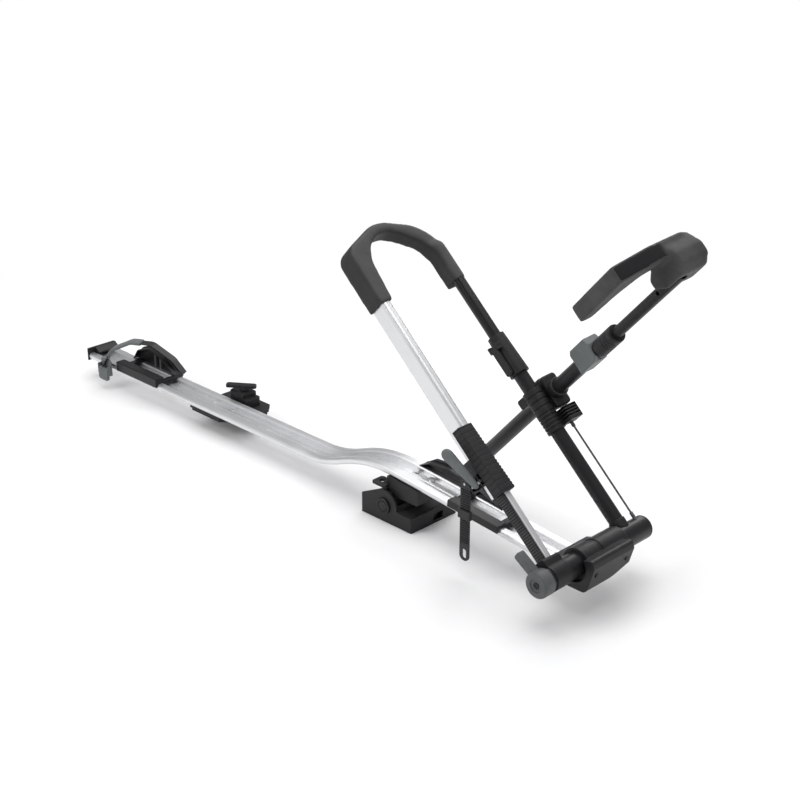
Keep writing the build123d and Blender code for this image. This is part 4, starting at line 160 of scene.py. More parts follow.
class Board:
    """Node board of one material, with the few nodes that the finishes are made of."""

    def __init__(self, name: str) -> None:
        """Makes an empty material.

        Args:
            name: the material's name.
        """
        self.material = bpy.data.materials.new(name)
        self.material.use_nodes = True
        self.nodes = self.material.node_tree.nodes
        self.links = self.material.node_tree.links
        self.nodes.clear()

    def add(
        self,
        kind: str,
        settings: Optional[dict] = None,
        inputs: Optional[dict] = None,
        out: Union[int, str] = 0,
    ) -> Wire:
        """Adds a node.

        Args:
            kind: the node's type.
            settings: its properties, set first.
            inputs: values or wires of its sockets, by number or name.
            out: the output to return.

        Returns:
            The chosen output.
        """
        node = self.nodes.new(kind)
        for key, value in (settings or {}).items():
            setattr(node, key, value)
        for key, value in (inputs or {}).items():
            if isinstance(value, Wire):
                self.links.new(value.socket, node.inputs[key])
            else:
                node.inputs[key].default_value = value
        return Wire(self, node.outputs[out])

    def place(self) -> Wire:
        """Object coordinates, in metres."""
        return self.add("ShaderNodeTexCoord", out="Object")

    def dot(self, way: Wire, axis: Sequence[float]) -> Wire:
        """Measures a vector along an axis.

        Args:
            way: the vector.
            axis: the axis, of length 1.

        Returns:
            The dot product.
        """
        inputs = {0: way, 1: tuple(axis)}
        return self.add("ShaderNodeVectorMath", {"operation": "DOT_PRODUCT"}, inputs, "Value")

    def stretched(self, along: Sequence[float], pitch: float, run: float) -> Wire:
        """Coordinates squeezed along an axis, for marks that run along it.

        Args:
            along: the axis that the marks follow.
            pitch: distance across the marks, in metres.
            run: length of a mark, in metres.

        Returns:
            The coordinates.
        """
        axis = Vector(along).normalized()
        place = self.place()
        part = self.dot(place, axis) * (1 - pitch / run)
        lift = self.add("ShaderNodeVectorMath", {"operation": "SCALE"}, {0: tuple(axis), "Scale": part})
        flat = self.add("ShaderNodeVectorMath", {"operation": "SUBTRACT"}, {0: place, 1: lift})
        return self.add("ShaderNodeVectorMath", {"operation": "SCALE"}, {0: flat, "Scale": 1 / pitch})

    def noise(
        self,
        size: float,
        detail: float = 3.0,
        rough: float = 0.55,
        place: Optional[Wire] = None,
    ) -> Wire:
        """Cloudy noise from 0 to 1.

        Args:
            size: width of its patches, in metres.
            detail: its octaves.
            rough: how strong the small ones are.
            place: coordinates in units of size, instead of the object's own.

        Returns:
            The noise.
        """
        scale = 1.0 if place else 1 / size
        inputs = {"Vector": place or self.place(), "Scale": scale, "Detail": detail, "Roughness": rough}
        return self.add("ShaderNodeTexNoise", {"noise_dimensions": "3D"}, inputs)

    def cells(self, size: float) -> Wire:
        """Distance to the nearest point of a scatter, for moulded grain.

        Args:
            size: distance between the points, in metres.

        Returns:
            The distance, in units of size.
        """
        inputs = {"Vector": self.place(), "Scale": 1 / size}
        return self.add("ShaderNodeTexVoronoi", {"feature": "F1"}, inputs)

    def tint(self, low: Colour, high: Colour, share: Wire) -> Wire:
        """Mixes two colours.

        Args:
            low: colour at share 0.
            high: colour at share 1.
            share: the mix.

        Returns:
            The colour.
        """
        settings = {"data_type": "RGBA", "clamp_factor": True}
        return self.add("ShaderNodeMix", settings, {0: share, 6: (*low, 1.0), 7: (*high, 1.0)}, 2)

    def over(self, base: Wire, top: Colour, share: Wire) -> Wire:
        """Lays a colour over another.

        Args:
            base: the colour below.
            top: the colour on top.
            share: how much of the top shows.

        Returns:
            The colour.
        """
        settings = {"data_type": "RGBA", "clamp_factor": True}
        return self.add("ShaderNodeMix", settings, {0: share, 6: base, 7: (*top, 1.0)}, 2)

    def facing(self, way: Sequence[float]) -> Wire:
        """Measures how squarely the surface faces a way.

        Args:
            way: the way, of length 1.

        Returns:
            From -1 to 1.
        """
        return self.dot(self.add("ShaderNodeTexCoord", out="Normal"), way)

    def bump(self, height: Wire, depth: float, strength: float = 1.0, edge: float = 0.0009) -> Wire:
        """Turns a height into a normal, on edges that look slightly rounded.

        Args:
            height: the height, from 0 to 1.
            depth: what a height of 1 stands for, in metres.
            strength: share of the effect.
            edge: radius of the rounded edges, in metres.

        Returns:
            The normal.
        """
        rounded = self.add("ShaderNodeBevel", {"samples": 4}, {"Radius": edge})
        inputs = {"Height": height, "Distance": depth, "Strength": strength, "Normal": rounded}
        return self.add("ShaderNodeBump", None, inputs)

    def steps(self, along: Sequence[float], pitch: float, share: float, start: float) -> Wire:
        """Rounded steps along an axis, such as the teeth of a strap.

        Args:
            along: the axis.
            pitch: distance from step to step, in metres.
            share: how much of the pitch is high.
            start: place on the axis where a step begins, in metres.

        Returns:
            1 on a step and 0 beside it.
        """
        run = self.dot(self.place(), Vector(along).normalized())
        phase = ((run - start) * (1 / pitch)).maths("FRACT")
        edge = 0.08
        return phase.between(0.0, edge) * phase.between(share, share + edge, 1.0, 0.0)

    def finish(
        self,
        colour: Wire,
        rough: Wire,
        normal: Wire,
        metallic: float = 0.0,
        coat: float = 0.0,
        coat_rough: float = 0.2,
        specular: float = 0.5,
    ) -> bpy.types.Material:
        """Joins the finish's wires to the surface.

        Args:
            colour: base colour.
            rough: roughness.
            normal: normal.
            metallic: 0 or 1.
            coat: weight of the clear coat.
            coat_rough: roughness of the coat.
            specular: specular level.

        Returns:
            The material.
        """
        inputs = {"Base Color": colour, "Roughness": rough, "Normal": normal, "Metallic": metallic}
        inputs.update({"Coat Weight": coat, "Coat Roughness": coat_rough, "Specular IOR Level": specular})
        surface = self.add("ShaderNodeBsdfPrincipled", None, inputs)
        self.add_output(surface)
        return self.material

    def add_output(self, surface: Wire) -> None:
        """Sends a shader to the material's output.

        Args:
            surface: the shader.
        """
        out = self.nodes.new("ShaderNodeOutputMaterial")
        self.links.new(surface.socket, out.inputs["Surface"])


@dataclass(frozen=True)
class DrawnMetal:
    """Drawn or extruded tube, anodised satin, with fine die marks along its length."""

    name: str
    colour: Colour
    worn: Colour
    grain: Grain
    rough: float = 0.34
    metallic: float = 1.0
    mark: float = 0.00004
    coat: float = 0.0
    specular: float = 0.5
    line_pitch: float = 0.0009
    line_run: float = 0.35
    band_pitch: float = 0.006
    band_run: float = 0.9
    cloud: float = 0.05
    grit: float = 0.0006

    def build(self) -> bpy.types.Material:
        """Makes the material.

        Returns:
            The material.
        """
        board = Board(self.name)
        along = self.grain.value
        lines = board.noise(1.0, 2.0, 0.6, board.stretched(along, self.line_pitch, self.line_run))
        bands = board.noise(1.0, 1.0, 0.5, board.stretched(along, self.band_pitch, self.band_run))
        cloud = board.noise(self.cloud, 3.0)
        share = (lines * 0.35 + bands * 0.35 + cloud * 0.3).between(0.3, 0.7)
        rough = (lines - 0.5) * 0.10 + (cloud - 0.5) * 0.08 + self.rough
        grit = board.noise(self.grit, 2.0)
        height = lines * 0.6 + grit * 0.4
        colour = board.tint(self.worn, self.colour, share)
        normal = board.bump(height, self.mark, 0.5)
        return board.finish(colour, rough, normal, self.metallic, self.coat, specular=self.specular)


@dataclass(frozen=True)
class MouldedPlastic:
    """Injection moulded plastic with a fine spark-eroded grain and rubbed high spots."""

    name: str
    colour: Colour
    rubbed: Colour
    grain: float = 0.0007
    depth: float = 0.00012
    rough: float = 0.48
    specular: float = 0.3
    edge: float = 0.0018
    flow: float = 0.028
    haze: float = 0.11
    scuff_way: tuple[float, float, float] = (0.5, 0.3, 0.8)
    scuff_pitch: float = 0.0016
    scuff_run: float = 0.03

    def build(self) -> bpy.types.Material:
        """Makes the material.

        Returns:
            The material.
        """
        board = Board(self.name)
        fine = board.cells(self.grain)
        soft = board.noise(self.grain * 2.4, 3.0)
        flow = board.noise(self.flow, 4.0, 0.6)
        haze = board.noise(self.haze, 2.0)
        streaks = board.stretched(self.scuff_way, self.scuff_pitch, self.scuff_run)
        scuffs = board.noise(1.0, 4.0, 0.7, streaks).between(0.66, 0.78)
        share = (flow * 0.5 + haze * 0.3 + soft * 0.2).between(0.32, 0.7)
        colour = board.over(board.tint(self.colour, self.rubbed, share), self.rubbed, scuffs * 0.5)
        rough = (flow - 0.5) * 0.18 + (fine - 0.4) * 0.08 + scuffs * 0.08 + self.rough
        normal = board.bump(fine * 0.6 + soft * 0.4, self.depth, 0.55, self.edge)
        return board.finish(colour, rough, normal, specular=self.specular)


@dataclass(frozen=True)
class ToothedPlastic:
    """Tough strap plastic with moulded teeth, with painted shade in the gaps between them."""

    name: str
    colour: Colour
    # The gap colour is painted shade, laid in the grooves between the teeth.
    gap_shade: Colour
    along: tuple[float, float, float]
    pitch: float
    share: float
    start: float
    rough: float = 0.46
    depth: float = 0.0008
    edge: float = 0.0004
    wear: float = 0.003
    grain: float = 0.0008
    specular: float = 0.3

    def build(self) -> bpy.types.Material:
        """Makes the material.

        Returns:
            The material.
        """
        board = Board(self.name)
        teeth = board.steps(self.along, self.pitch, self.share, self.start)
        rub = board.noise(self.wear, 4.0, 0.65)
        grain = board.cells(self.grain)
        # Painted shade: the colour between the teeth is darkened where the grooves would be shaded.
        colour = board.tint(self.gap_shade, self.colour, teeth * 0.85 + rub.between(0.35, 0.7) * 0.15)
        rough = (rub - 0.5) * 0.16 + self.rough
        height = teeth * 0.7 + grain * 0.1 + rub * 0.2
        normal = board.bump(height, self.depth, 0.9, self.edge)
        return board.finish(colour, rough, normal, specular=self.specular)


@dataclass(frozen=True)
class SkinnedRubber:
    """Soft moulded rubber with a leathery skin, paler in random dusty patches and with a painted highlight
    where it faces up.
    """

    name: str
    colour: Colour
    # The paler colour serves both random dusty patches and the painted highlight on faces turned up.
    dust_and_lit_top: Colour
    up: tuple[float, float, float] = (0.0, 0.0, 1.0)
    rough: float = 0.62
    pore: float = 0.0011
    wrinkle: float = 0.0035
    patch: float = 0.04
    depth: float = 0.00018
    edge: float = 0.002
    specular: float = 0.3

    def build(self) -> bpy.types.Material:
        """Makes the material.

        Returns:
            The material.
        """
        board = Board(self.name)
        pores = board.cells(self.pore)
        wrinkle = board.noise(self.wrinkle, 5.0, 0.65)
        patch = board.noise(self.patch, 4.0)
        # Painted highlight: faces turned along up are made paler, as if lit from above.
        top = board.facing(self.up).between(0.2, 0.95)
        share = (patch * 0.55 + top * 0.3 + wrinkle * 0.15).between(0.28, 0.8)
        colour = board.tint(self.colour, self.dust_and_lit_top, share)
        rough = (patch - 0.5) * 0.14 + (wrinkle - 0.5) * 0.1 + self.rough
        normal = board.bump(pores * 0.5 + wrinkle * 0.5, self.depth, 0.6, self.edge)
        return board.finish(colour, rough, normal, specular=self.specular)


@dataclass(frozen=True)
class PadRubber(SkinnedRubber):
    """Rubber of the tyre hook, whose outer face carries a darker ribbed tread."""

    tread: Colour = (0.006, 0.006, 0.007)
    outward: tuple[float, float, float] = (0.0, 0.0, 1.0)
    tread_end: float = 0.188
    tread_fade: float = 0.012
    depth: float = 0.0002
    specular: float = 0.25

    def build(self) -> bpy.types.Material:
        """Makes the material.

        Returns:
            The material.
        """
        board = Board(self.name)
        pores = board.cells(self.pore)
        patch = board.noise(self.patch, 4.0)
        wrinkle = board.noise(self.wrinkle, 5.0, 0.65)
        side = board.dot(board.place(), ARM_SIDE)
        reach = side.between(self.tread_end - self.tread_fade, self.tread_end, 1.0, 0.0)
        face = board.facing(self.outward).between(0.90, 0.94) * reach
        share = (patch * 0.8 + wrinkle * 0.2).between(0.3, 0.75)
        colour = board.over(board.tint(self.colour, self.dust_and_lit_top, share), self.tread, face * 0.95)
        rough = (patch - 0.5) * 0.12 + face * 0.12 + self.rough
        height = pores * 0.4 + wrinkle * 0.4 + (face * wrinkle) * 0.2
        normal = board.bump(height, self.depth, 0.6, self.edge)
        return board.finish(colour, rough, normal, specular=self.specular)


@dataclass(frozen=True)
class PlatedSteel:
    """Zinc plated or ground steel of screws, pins and the cable."""

    name: str
    colour: Colour
    dull: Colour
    rough: float = 0.32
    twist: float = 0.0
    bloom: float = 0.004
    wear: float = 0.0007
    depth: float = 0.0002

    def build(self) -> bpy.types.Material:
        """Makes the material.

        Returns:
            The material.
        """
        board = Board(self.name)
        bloom = board.noise(self.bloom, 4.0, 0.7)
        wear = board.noise(self.wear, 2.0)
        height = wear
        if self.twist:
            lay = board.noise(1.0, 0.0, 0.5, board.stretched(CABLE_RUN, self.twist, self.twist * 3))
            height = lay * 0.8 + wear * 0.2
        colour = board.tint(self.dull, self.colour, bloom.between(0.3, 0.65))
        rough = (bloom - 0.5) * 0.2 + self.rough
        return board.finish(colour, rough, board.bump(height, self.depth, 0.5), 1.0)


def cool(value: float, blue: float = 0.001) -> Colour:
    """Nearly neutral grey.

    Args:
        value: its red and green.
        blue: how much more blue it has.

    Returns:
        The colour.
    """
    return (value, value, value + blue)


Finish = Union[DrawnMetal, MouldedPlastic, ToothedPlastic, SkinnedRubber, PlatedSteel]
SILVER = {"colour": (0.78, 0.785, 0.79), "worn": (0.70, 0.705, 0.715), "rough": 0.42}
PAINT = {"colour": cool(0.012), "worn": cool(0.008), "metallic": 0.0}
# The gap colour of the strap teeth is painted shade in their grooves.
TEETH = {"colour": cool(0.046), "gap_shade": cool(0.002, 0.0), "pitch": 0.005, "share": 0.52}
FINE_GRAIN = {"grain": 0.0006, "depth": 0.0001}
MOULDINGS = (
    MouldedPlastic("clamp_black", cool(0.008), cool(0.015), edge=0.0028),
    MouldedPlastic("head_black", cool(0.009), cool(0.020), 0.0009, 0.00016, 0.42, edge=0.0035),
    MouldedPlastic("cradle_black", cool(0.008), cool(0.014), rough=0.38, edge=0.003),
    MouldedPlastic("strap_black", cool(0.014), cool(0.026), 0.0012, 0.0001, 0.46),
    MouldedPlastic("guide_black", cool(0.012, 0.0), cool(0.022, 0.0), 0.0008),
    MouldedPlastic("lever_grey", (0.100, 0.110, 0.108), (0.138, 0.150, 0.147), **FINE_GRAIN),
    MouldedPlastic("knob_grey", (0.072, 0.076, 0.076), (0.100, 0.104, 0.104), rough=0.42, **FINE_GRAIN),
)
RIBBED = (
    # The cover's ribs get painted shade in the grooves between them.
    ToothedPlastic(
        "cover_black",
        colour=cool(0.012),
        gap_shade=cool(0.002, 0.0),
        along=HOOP_UP,
        pitch=0.0105,
        share=0.84,
        start=0.002,
        rough=0.5,
        depth=0.0016,
        edge=0.003,
    ),
    ToothedPlastic("ladder_teeth", along=HOOP_UP, start=-0.18085, **TEETH),
    ToothedPlastic("tail_teeth", along=(0.0, 0.0, 1.0), start=0.14346, **TEETH),
)
METALS = (
    DrawnMetal("rail_silver", grain=Grain.RAIL, **SILVER),
    DrawnMetal("leg_silver", grain=Grain.HOOP, **SILVER),
    DrawnMetal("hoop_black", grain=Grain.HOOP, rough=0.34, coat=0.05, specular=0.3, **PAINT),
    DrawnMetal("cross_black", grain=Grain.CROSS, rough=0.36, coat=0.03, specular=0.35, **PAINT),
    DrawnMetal("arm_black", grain=Grain.ARM, rough=0.42, coat=0.02, specular=0.22, **PAINT),
    PlatedSteel("screw_steel", (0.60, 0.60, 0.62), (0.42, 0.42, 0.43), 0.42),
    PlatedSteel("cable_steel", (0.20, 0.20, 0.21), (0.10, 0.10, 0.11), 0.38, 0.0006),
    PlatedSteel("screw_dark", (0.05, 0.05, 0.052), (0.028, 0.028, 0.029), 0.4),
)
RUBBERS = (
    # hoop_rubber gets its painted highlight on faces turned along HOOP_FACE, foot_rubber on faces turned
    # up.
    SkinnedRubber("hoop_rubber", cool(0.022), cool(0.056), HOOP_FACE),
    PadRubber("hook_rubber", cool(0.040), cool(0.066), outward=(0.613, -0.490, 0.619)),
    SkinnedRubber("foot_rubber", cool(0.010), cool(0.022)),
)
FINISHES: dict[str, Finish] = {finish.name: finish for finish in MOULDINGS + RIBBED + METALS + RUBBERS}


class Wardrobe:
    """Makes each finish once and puts it on nodes and pieces."""

    def __init__(self) -> None:
        """Starts with no finish made."""
        self.made: dict[str, bpy.types.Material] = {}

    def get(self, name: str) -> bpy.types.Material:
        """Returns a finish's material, made on first use.

        Args:
            name: the finish's name.

        Returns:
            The material.
        """
        if name not in self.made:
            self.made[name] = FINISHES[name].build()
        return self.made[name]

    def wear(self, piece: bpy.types.Object, name: str) -> None:
        """Gives a whole piece one finish.

        Args:
            piece: the piece.
            name: the finish's name.
        """
        piece.data.materials.clear()
        piece.data.materials.append(self.get(name))


@dataclass
class Workshop:
    """What every sub-assembly needs to model and dress its pieces."""

    nodes: dict[str, bpy.types.Object]
    wardrobe: Wardrobe
    made: list[str] = field(default_factory=list)

    def dress(self, finish: str, *nodes: str) -> None:
        """Gives CAD nodes a finish.

        Args:
            finish: the finish's name.
            nodes: the nodes' names.
        """
        for name in nodes:
            self.wardrobe.wear(self.nodes[name], finish)

    def settle(
        self,
        piece: bpy.types.Object,
        body: str,
        slot: str,
        finish: str,
        angle: float,
    ) -> bpy.types.Object:
        """Puts a finished piece's place in its mesh, smooths it, dresses it and lets it ride.

        Args:
            piece: the modelled piece.
            body: the body that it moves with.
            slot: the record's material slot; not used.
            finish: its finish.
            angle: edges sharper than this, in degrees, stay sharp.

        Returns:
            The piece.
        """
        bpy.ops.object.select_all(action="DESELECT")
        piece.select_set(True)
        bpy.context.view_layer.objects.active = piece
        bpy.ops.object.transform_apply(location=True, rotation=True, scale=True)
        bpy.ops.object.shade_smooth_by_angle(angle=math.radians(angle))
        self.wardrobe.wear(piece, finish)
        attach(piece, body)
        self.made.append(piece.name)
        LOG.info("made %s on %s", piece.name, body)
        return piece

    def apply(self, piece: bpy.types.Object, kind: str, **settings: object) -> None:
        """Adds a modifier and applies it.

        Args:
            piece: the piece.
            kind: the modifier's type.
            settings: its settings.
        """
        bpy.ops.object.select_all(action="DESELECT")
        piece.select_set(True)
        bpy.context.view_layer.objects.active = piece
        step = piece.modifiers.new(kind.lower(), kind)
        for key, value in settings.items():
            setattr(step, key, value)
        bpy.ops.object.modifier_apply(modifier=step.name)

    def copy_of(self, node: str, name: str) -> bpy.types.Object:
        """Copies a CAD node's mesh into a new object with its doubles merged.

        Args:
            node: the CAD node.
            name: the copy's name.

        Returns:
            The new object.
        """
        mesh = self.nodes[node].data.copy()
        mesh.name = name
        piece = bpy.data.objects.new(name, mesh)
        bpy.context.scene.collection.objects.link(piece)
        shape = bmesh.new()
        shape.from_mesh(mesh)
        bmesh.ops.remove_doubles(shape, verts=shape.verts, dist=1e-6)
        bmesh.ops.recalc_face_normals(shape, faces=shape.faces)
        shape.to_mesh(mesh)
        shape.free()
        return piece

    def softened(self, node: str, name: str, voxel: float, rounds: int) -> bpy.types.Object:
        """Remodels a CAD node as one soft moulded skin.

        Args:
            node: the CAD node.
            name: the new piece's name.
            voxel: size of the remesh, in metres.
            rounds: how often the skin is smoothed.

        Returns:
            The new piece.
        """
        piece = self.copy_of(node, name)
        self.apply(piece, "REMESH", mode="VOXEL", voxel_size=voxel)
        self.apply(piece, "SMOOTH", factor=0.5, iterations=rounds)
        return piece


@dataclass
class RailAndFeet:
    """Rail, its end cap and the two feet."""

    shop: Workshop

    def build(self) -> None:
        """Dresses the rail and feet."""
        shop = self.shop
        shop.dress("rail_silver", "rail")
        shop.dress("cradle_black", "rail_end_cap", "front_cradle")
        shop.dress("clamp_black", "foot_bracket", "jaw_tray", "rear_base", "rear_tower", "t_handle")
        shop.dress("foot_rubber", "jaw_pad", "rear_pad")
        shop.dress("screw_dark", "hub_pin", "jaw_screw")
        shop.dress("rail_silver", "foot_bolts", "base_screws")


@dataclass
class RearCradle:
    """Cradle of the rear wheel with its strap and buckle."""

    shop: Workshop
    sleeve_voxel: float = 0.0016
    sleeve_rounds: int = 3

    def build(self) -> None:
        """Dresses the cradle and models its soft sleeve."""
        shop = self.shop
        shop.dress("cradle_black", "rear_cradle")
        shop.dress("lever_grey", "cradle_ribs", "rear_buckle", "rear_buckle_lever")
        shop.dress("strap_black", "wheel_strap")
        sleeve = shop.softened("strap_pad", "strap_sleeve", self.sleeve_voxel, self.sleeve_rounds)
        shop.settle(sleeve, "rear_cradle", "grey_plastic", "lever_grey", 60.0)
        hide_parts("strap_pad")


@dataclass
class Head:
    """Head block, cross tube, hubs and knob at the front end."""

    shop: Workshop

    def build(self) -> None:
        """Dresses the head."""
        shop = self.shop
        shop.dress("head_black", "head_block")
        shop.dress("guide_black", "head_bushings", "knob_seat", "leg_guide", "rod_guide")
        shop.dress("cross_black", "cross_tube")
        shop.dress("clamp_black", "near_hub", "far_collar", "cross_tube_cap")
        shop.dress("screw_dark", "head_screws", "lock_barrel")
        shop.dress("knob_grey", "axle_knob")


@dataclass
class Hoop:
    """Hoop round the front wheel: legs, clamp, ratchet and rubber cover."""

    shop: Workshop
    cover_voxel: float = 0.0028
    cover_rounds: int = 34
    lever_pin: Vector = field(default_factory=lambda: Vector((0.036, 0.216, -0.114)))
    lever_wide: float = 0.0274
    lever_narrow: float = 0.0150
    lever_reach: float = 0.0695
    lever_root: float = 0.0045
    lever_thick: float = 0.0072
    lever_lean: float = -14.0
    lever_offset: float = -0.003
    sharp: float = math.radians(40.0)

    def paddle(self) -> None:
        """Models the ratchet lever as a flat paddle that narrows towards its pin."""
        bpy.ops.object.select_all(action="DESELECT")
        bpy.ops.mesh.primitive_circle_add(vertices=48, radius=self.lever_wide / 2, fill_type="NGON")
        piece = bpy.context.active_object
        piece.name = piece.data.name = "lever_paddle"
        bpy.ops.object.mode_set(mode="EDIT")
        bpy.ops.mesh.select_mode(type="VERT")
        bpy.ops.mesh.select_all(action="DESELECT")
        bpy.ops.object.mode_set(mode="OBJECT")
        for corner in piece.data.vertices:
            corner.select = corner.co.y < -self.lever_wide / 100
        bpy.ops.object.mode_set(mode="EDIT")
        share = self.lever_narrow / self.lever_wide
        bpy.ops.transform.resize(value=(share, share, 1.0), orient_type="GLOBAL")
        bpy.ops.transform.translate(value=(0.0, -self.lever_reach, 0.0), orient_type="GLOBAL")
        bpy.ops.object.mode_set(mode="OBJECT")
        self.shop.apply(piece, "SOLIDIFY", thickness=self.lever_thick, offset=0.0)
        self.shop.apply(piece, "BEVEL", width=self.lever_thick / 3, segments=4, angle_limit=self.sharp)
        axes = (-Vector(HOOP_FACE), Vector(HOOP_UP), Vector(Grain.CROSS.value))
        turn = Matrix(axes).transposed().to_4x4()
        lean = Matrix.Rotation(math.radians(self.lever_lean), 4, "X")
        rise = self.lever_reach + self.lever_root
        lift = Matrix.Translation(Vector((0.0, rise, self.lever_offset)))
        pin = Matrix.Translation(Vector(HOOP_FOOT)) @ turn @ Matrix.Translation(self.lever_pin)
        piece.matrix_world = pin @ lean @ lift
        self.shop.settle(piece, "buckle_lever", "grey_plastic", "lever_grey", 40.0)
        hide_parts("buckle_lever")

    def build(self) -> None:
        """Dresses the hoop and models its rubber cover."""
        shop = self.shop
        shop.dress("leg_silver", "near_leg", "inner_bar")
        shop.dress("hoop_black", "far_tube", "upper_tube", "hoop_core")
        shop.dress("clamp_black", "sleeve_clamp", "sleeve_lever", "cable_anchor", "arm_swivel")
        shop.dress("cover_black", "buckle_cover")
        shop.dress("screw_dark", "buckle_frame", "sleeve_pin")
        shop.dress("screw_steel", "buckle_pins")
        shop.dress("cable_steel", "cable", "cable_ferrules")
        shop.dress("ladder_teeth", "ladder_strap")
        shop.dress("tail_teeth", "strap_tail")
        shop.dress("strap_black", "strap_keeper")
        shop.dress("lever_grey", "buckle_lever")
        cover = shop.softened("hoop_cover", "hoop_grip", self.cover_voxel, self.cover_rounds)
        shop.settle(cover, "hoop_upper", "rubber", "hoop_rubber", 50.0)
        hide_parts("hoop_cover")
        self.paddle()


@dataclass
class HookArm:
    """Hook arm with its trigger and tyre hook."""

    shop: Workshop
    pad_voxel: float = 0.0024
    pad_rounds: int = 22

    def build(self) -> None:
        """Dresses the arm and models its rubber hook."""
        shop = self.shop
        shop.dress("arm_black", "arm_tube", "hook_rod")
        shop.dress("clamp_black", "arm_carrier", "arm_plug", "trigger_housing", "hook_core")
        shop.dress("lever_grey", "trigger")
        pad = shop.softened("hook_pad", "hook_grip", self.pad_voxel, self.pad_rounds)
        shop.settle(pad, "hook_slide", "rubber", "hook_rubber", 50.0)
        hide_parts("hook_pad")


@dataclass(frozen=True)
class Lamp:
    """One soft square lamp."""

    name: str
    place: tuple[float, float, float]
    size: float
    power: float


LAMPS = (
    Lamp("top_lamp", (-0.2, 0.3, 3.0), 3.0, 75.0),
    Lamp("key_lamp", (-1.4, -2.6, 2.2), 1.8, 40.0),
    Lamp("fill_lamp", (3.2, -0.2, 1.4), 2.0, 22.0),
    Lamp("rim_lamp", (-1.0, 2.6, 1.8), 1.6, 26.0),
)


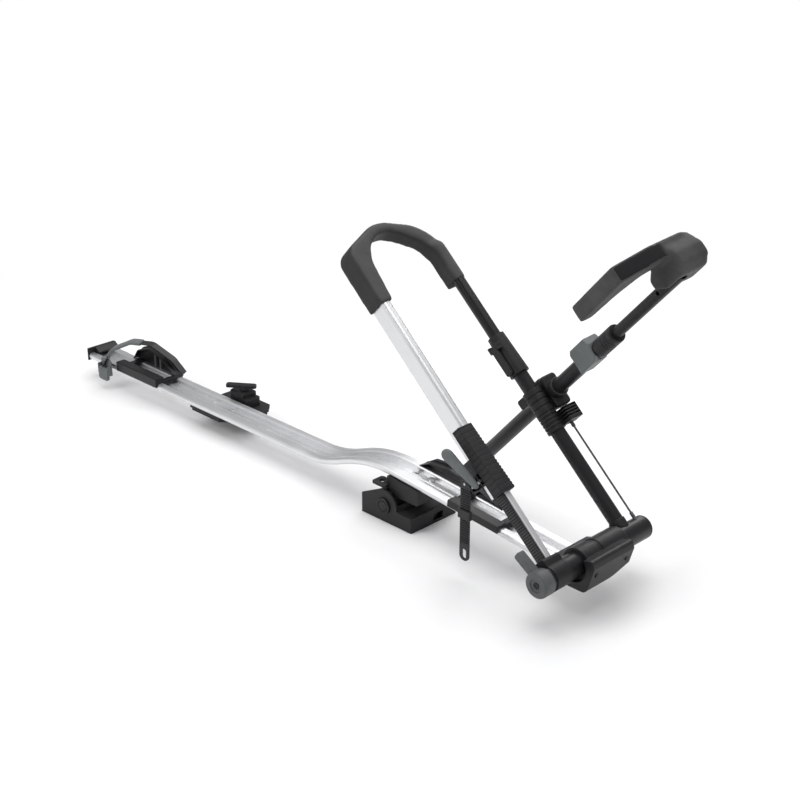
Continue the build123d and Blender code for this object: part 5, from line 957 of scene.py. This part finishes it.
@dataclass
class Studio:
    """Floor, lamps and camera of the photograph."""

    azimuth: float = 45.1
    elevation: float = 23.48
    focal: float = 1477.9
    picture: float = 800.0
    sensor: float = 36.0
    stand: Vector = field(default_factory=lambda: Vector((1.8538, -1.9180, 1.3858)))
    floor_half: float = 30.0
    floor_gap: float = 0.0005
    fade_start: float = 0.8
    fade_end: float = 2.0
    fibre: float = 0.02
    paper: tuple[float, float] = (0.86, 0.88)
    room: Colour = (0.97, 0.98, 1.0)
    room_light: float = 0.38
    aim: tuple[float, float, float] = (-0.2, 0.0, 0.2)

    def build(self, low: float) -> None:
        """Makes the whole studio.

        Args:
            low: height of the object's lowest point.
        """
        self.floor(low - self.floor_gap)
        self.world()
        self.lamps()
        self.camera()

    def camera(self) -> None:
        """Stands the camera where the photograph was taken from."""
        around, lift = math.radians(self.azimuth), math.radians(self.elevation)
        right = Vector((math.cos(around), math.sin(around), 0.0))
        level = Vector((math.sin(around), -math.cos(around), 0.0))
        back = level * math.cos(lift) + Vector((0.0, 0.0, math.sin(lift)))
        up = back.cross(right)
        turn = Matrix((right, up, back)).transposed().to_4x4()
        lens = bpy.data.cameras.new("photo_camera")
        lens.sensor_width = self.sensor
        lens.lens = self.focal * self.sensor / self.picture
        lens.clip_end = 4 * self.floor_half
        camera = bpy.data.objects.new("photo_camera", lens)
        camera.matrix_world = Matrix.Translation(self.stand) @ turn
        bpy.context.scene.collection.objects.link(camera)
        bpy.context.scene.camera = camera

    def floor(self, height: float) -> None:
        """Lays the pale floor, which fades into the white background.

        Args:
            height: the floor's height.
        """
        bpy.ops.object.select_all(action="DESELECT")
        bpy.ops.mesh.primitive_plane_add(size=2 * self.floor_half, location=(0.0, 0.0, height))
        plane = bpy.context.active_object
        plane.name = "studio_floor"
        board = Board("floor_paper")
        place = board.place()
        spread = board.add("ShaderNodeVectorMath", {"operation": "LENGTH"}, {0: place}, "Value")
        dark, pale = self.paper
        colour = board.tint(cool(dark, 0.0), cool(pale, 0.0), board.noise(self.fibre, 3.0))
        matt = board.add("ShaderNodeBsdfDiffuse", None, {"Color": colour})
        glow = board.add("ShaderNodeEmission", None, {"Color": (1.0, 1.0, 1.0, 1.0), "Strength": 1.0})
        path = board.add("ShaderNodeLightPath", out="Is Camera Ray")
        share = spread.between(self.fade_start, self.fade_end) * path
        board.add_output(board.add("ShaderNodeMixShader", None, {0: share, 1: matt, 2: glow}))
        plane.data.materials.append(board.material)
        plane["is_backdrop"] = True

    def world(self) -> None:
        """Lights the room evenly and shows it white."""
        world = bpy.data.worlds.new("studio_world")
        bpy.context.scene.world = world
        world.use_nodes = True
        nodes, links = world.node_tree.nodes, world.node_tree.links
        nodes.clear()
        path = nodes.new("ShaderNodeLightPath")
        seen = nodes.new("ShaderNodeMath")
        seen.operation = "MAXIMUM"
        links.new(path.outputs["Is Camera Ray"], seen.inputs[0])
        links.new(path.outputs["Is Transmission Ray"], seen.inputs[1])
        soft = nodes.new("ShaderNodeBackground")
        soft.inputs["Color"].default_value = (*self.room, 1.0)
        soft.inputs["Strength"].default_value = self.room_light
        white = nodes.new("ShaderNodeBackground")
        white.inputs["Color"].default_value = (1.0, 1.0, 1.0, 1.0)
        mix = nodes.new("ShaderNodeMixShader")
        out = nodes.new("ShaderNodeOutputWorld")
        links.new(seen.outputs[0], mix.inputs[0])
        links.new(soft.outputs[0], mix.inputs[1])
        links.new(white.outputs[0], mix.inputs[2])
        links.new(mix.outputs[0], out.inputs["Surface"])

    def lamps(self) -> None:
        """Hangs the soft lamps, all turned to the middle of the carrier."""
        for lamp in LAMPS:
            light = bpy.data.lights.new(lamp.name, "AREA")
            light.shape = "SQUARE"
            light.size = lamp.size
            light.energy = lamp.power
            holder = bpy.data.objects.new(lamp.name, light)
            place = Vector(lamp.place)
            holder.location = place
            holder.rotation_euler = (Vector(self.aim) - place).to_track_quat("-Z", "Y").to_euler()
            bpy.context.scene.collection.objects.link(holder)


def corners(box: tuple[Vector, Vector]) -> list[list[float]]:
    """Turns a box into plain lists of numbers.

    Args:
        box: its low and high corners.

    Returns:
        The two corners as lists.
    """
    return [[float(value) for value in corner] for corner in box]


def main() -> None:
    """Builds the scene: the studio, then each sub-assembly in order."""
    logging.basicConfig(level=logging.INFO)
    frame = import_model()
    solid_box = corners(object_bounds())
    bpy.context.scene.view_settings.view_transform = "Standard"
    bpy.ops.object.select_all(action="DESELECT")
    shop = Workshop(frame["nodes"], Wardrobe())
    Studio().build(solid_box[0][2])
    for assembly in (RailAndFeet(shop), RearCradle(shop), Head(shop), Hoop(shop), HookArm(shop)):
        assembly.build()
    LOG.info("%d new pieces", len(shop.made))


if __name__ == "__main__":
    main()
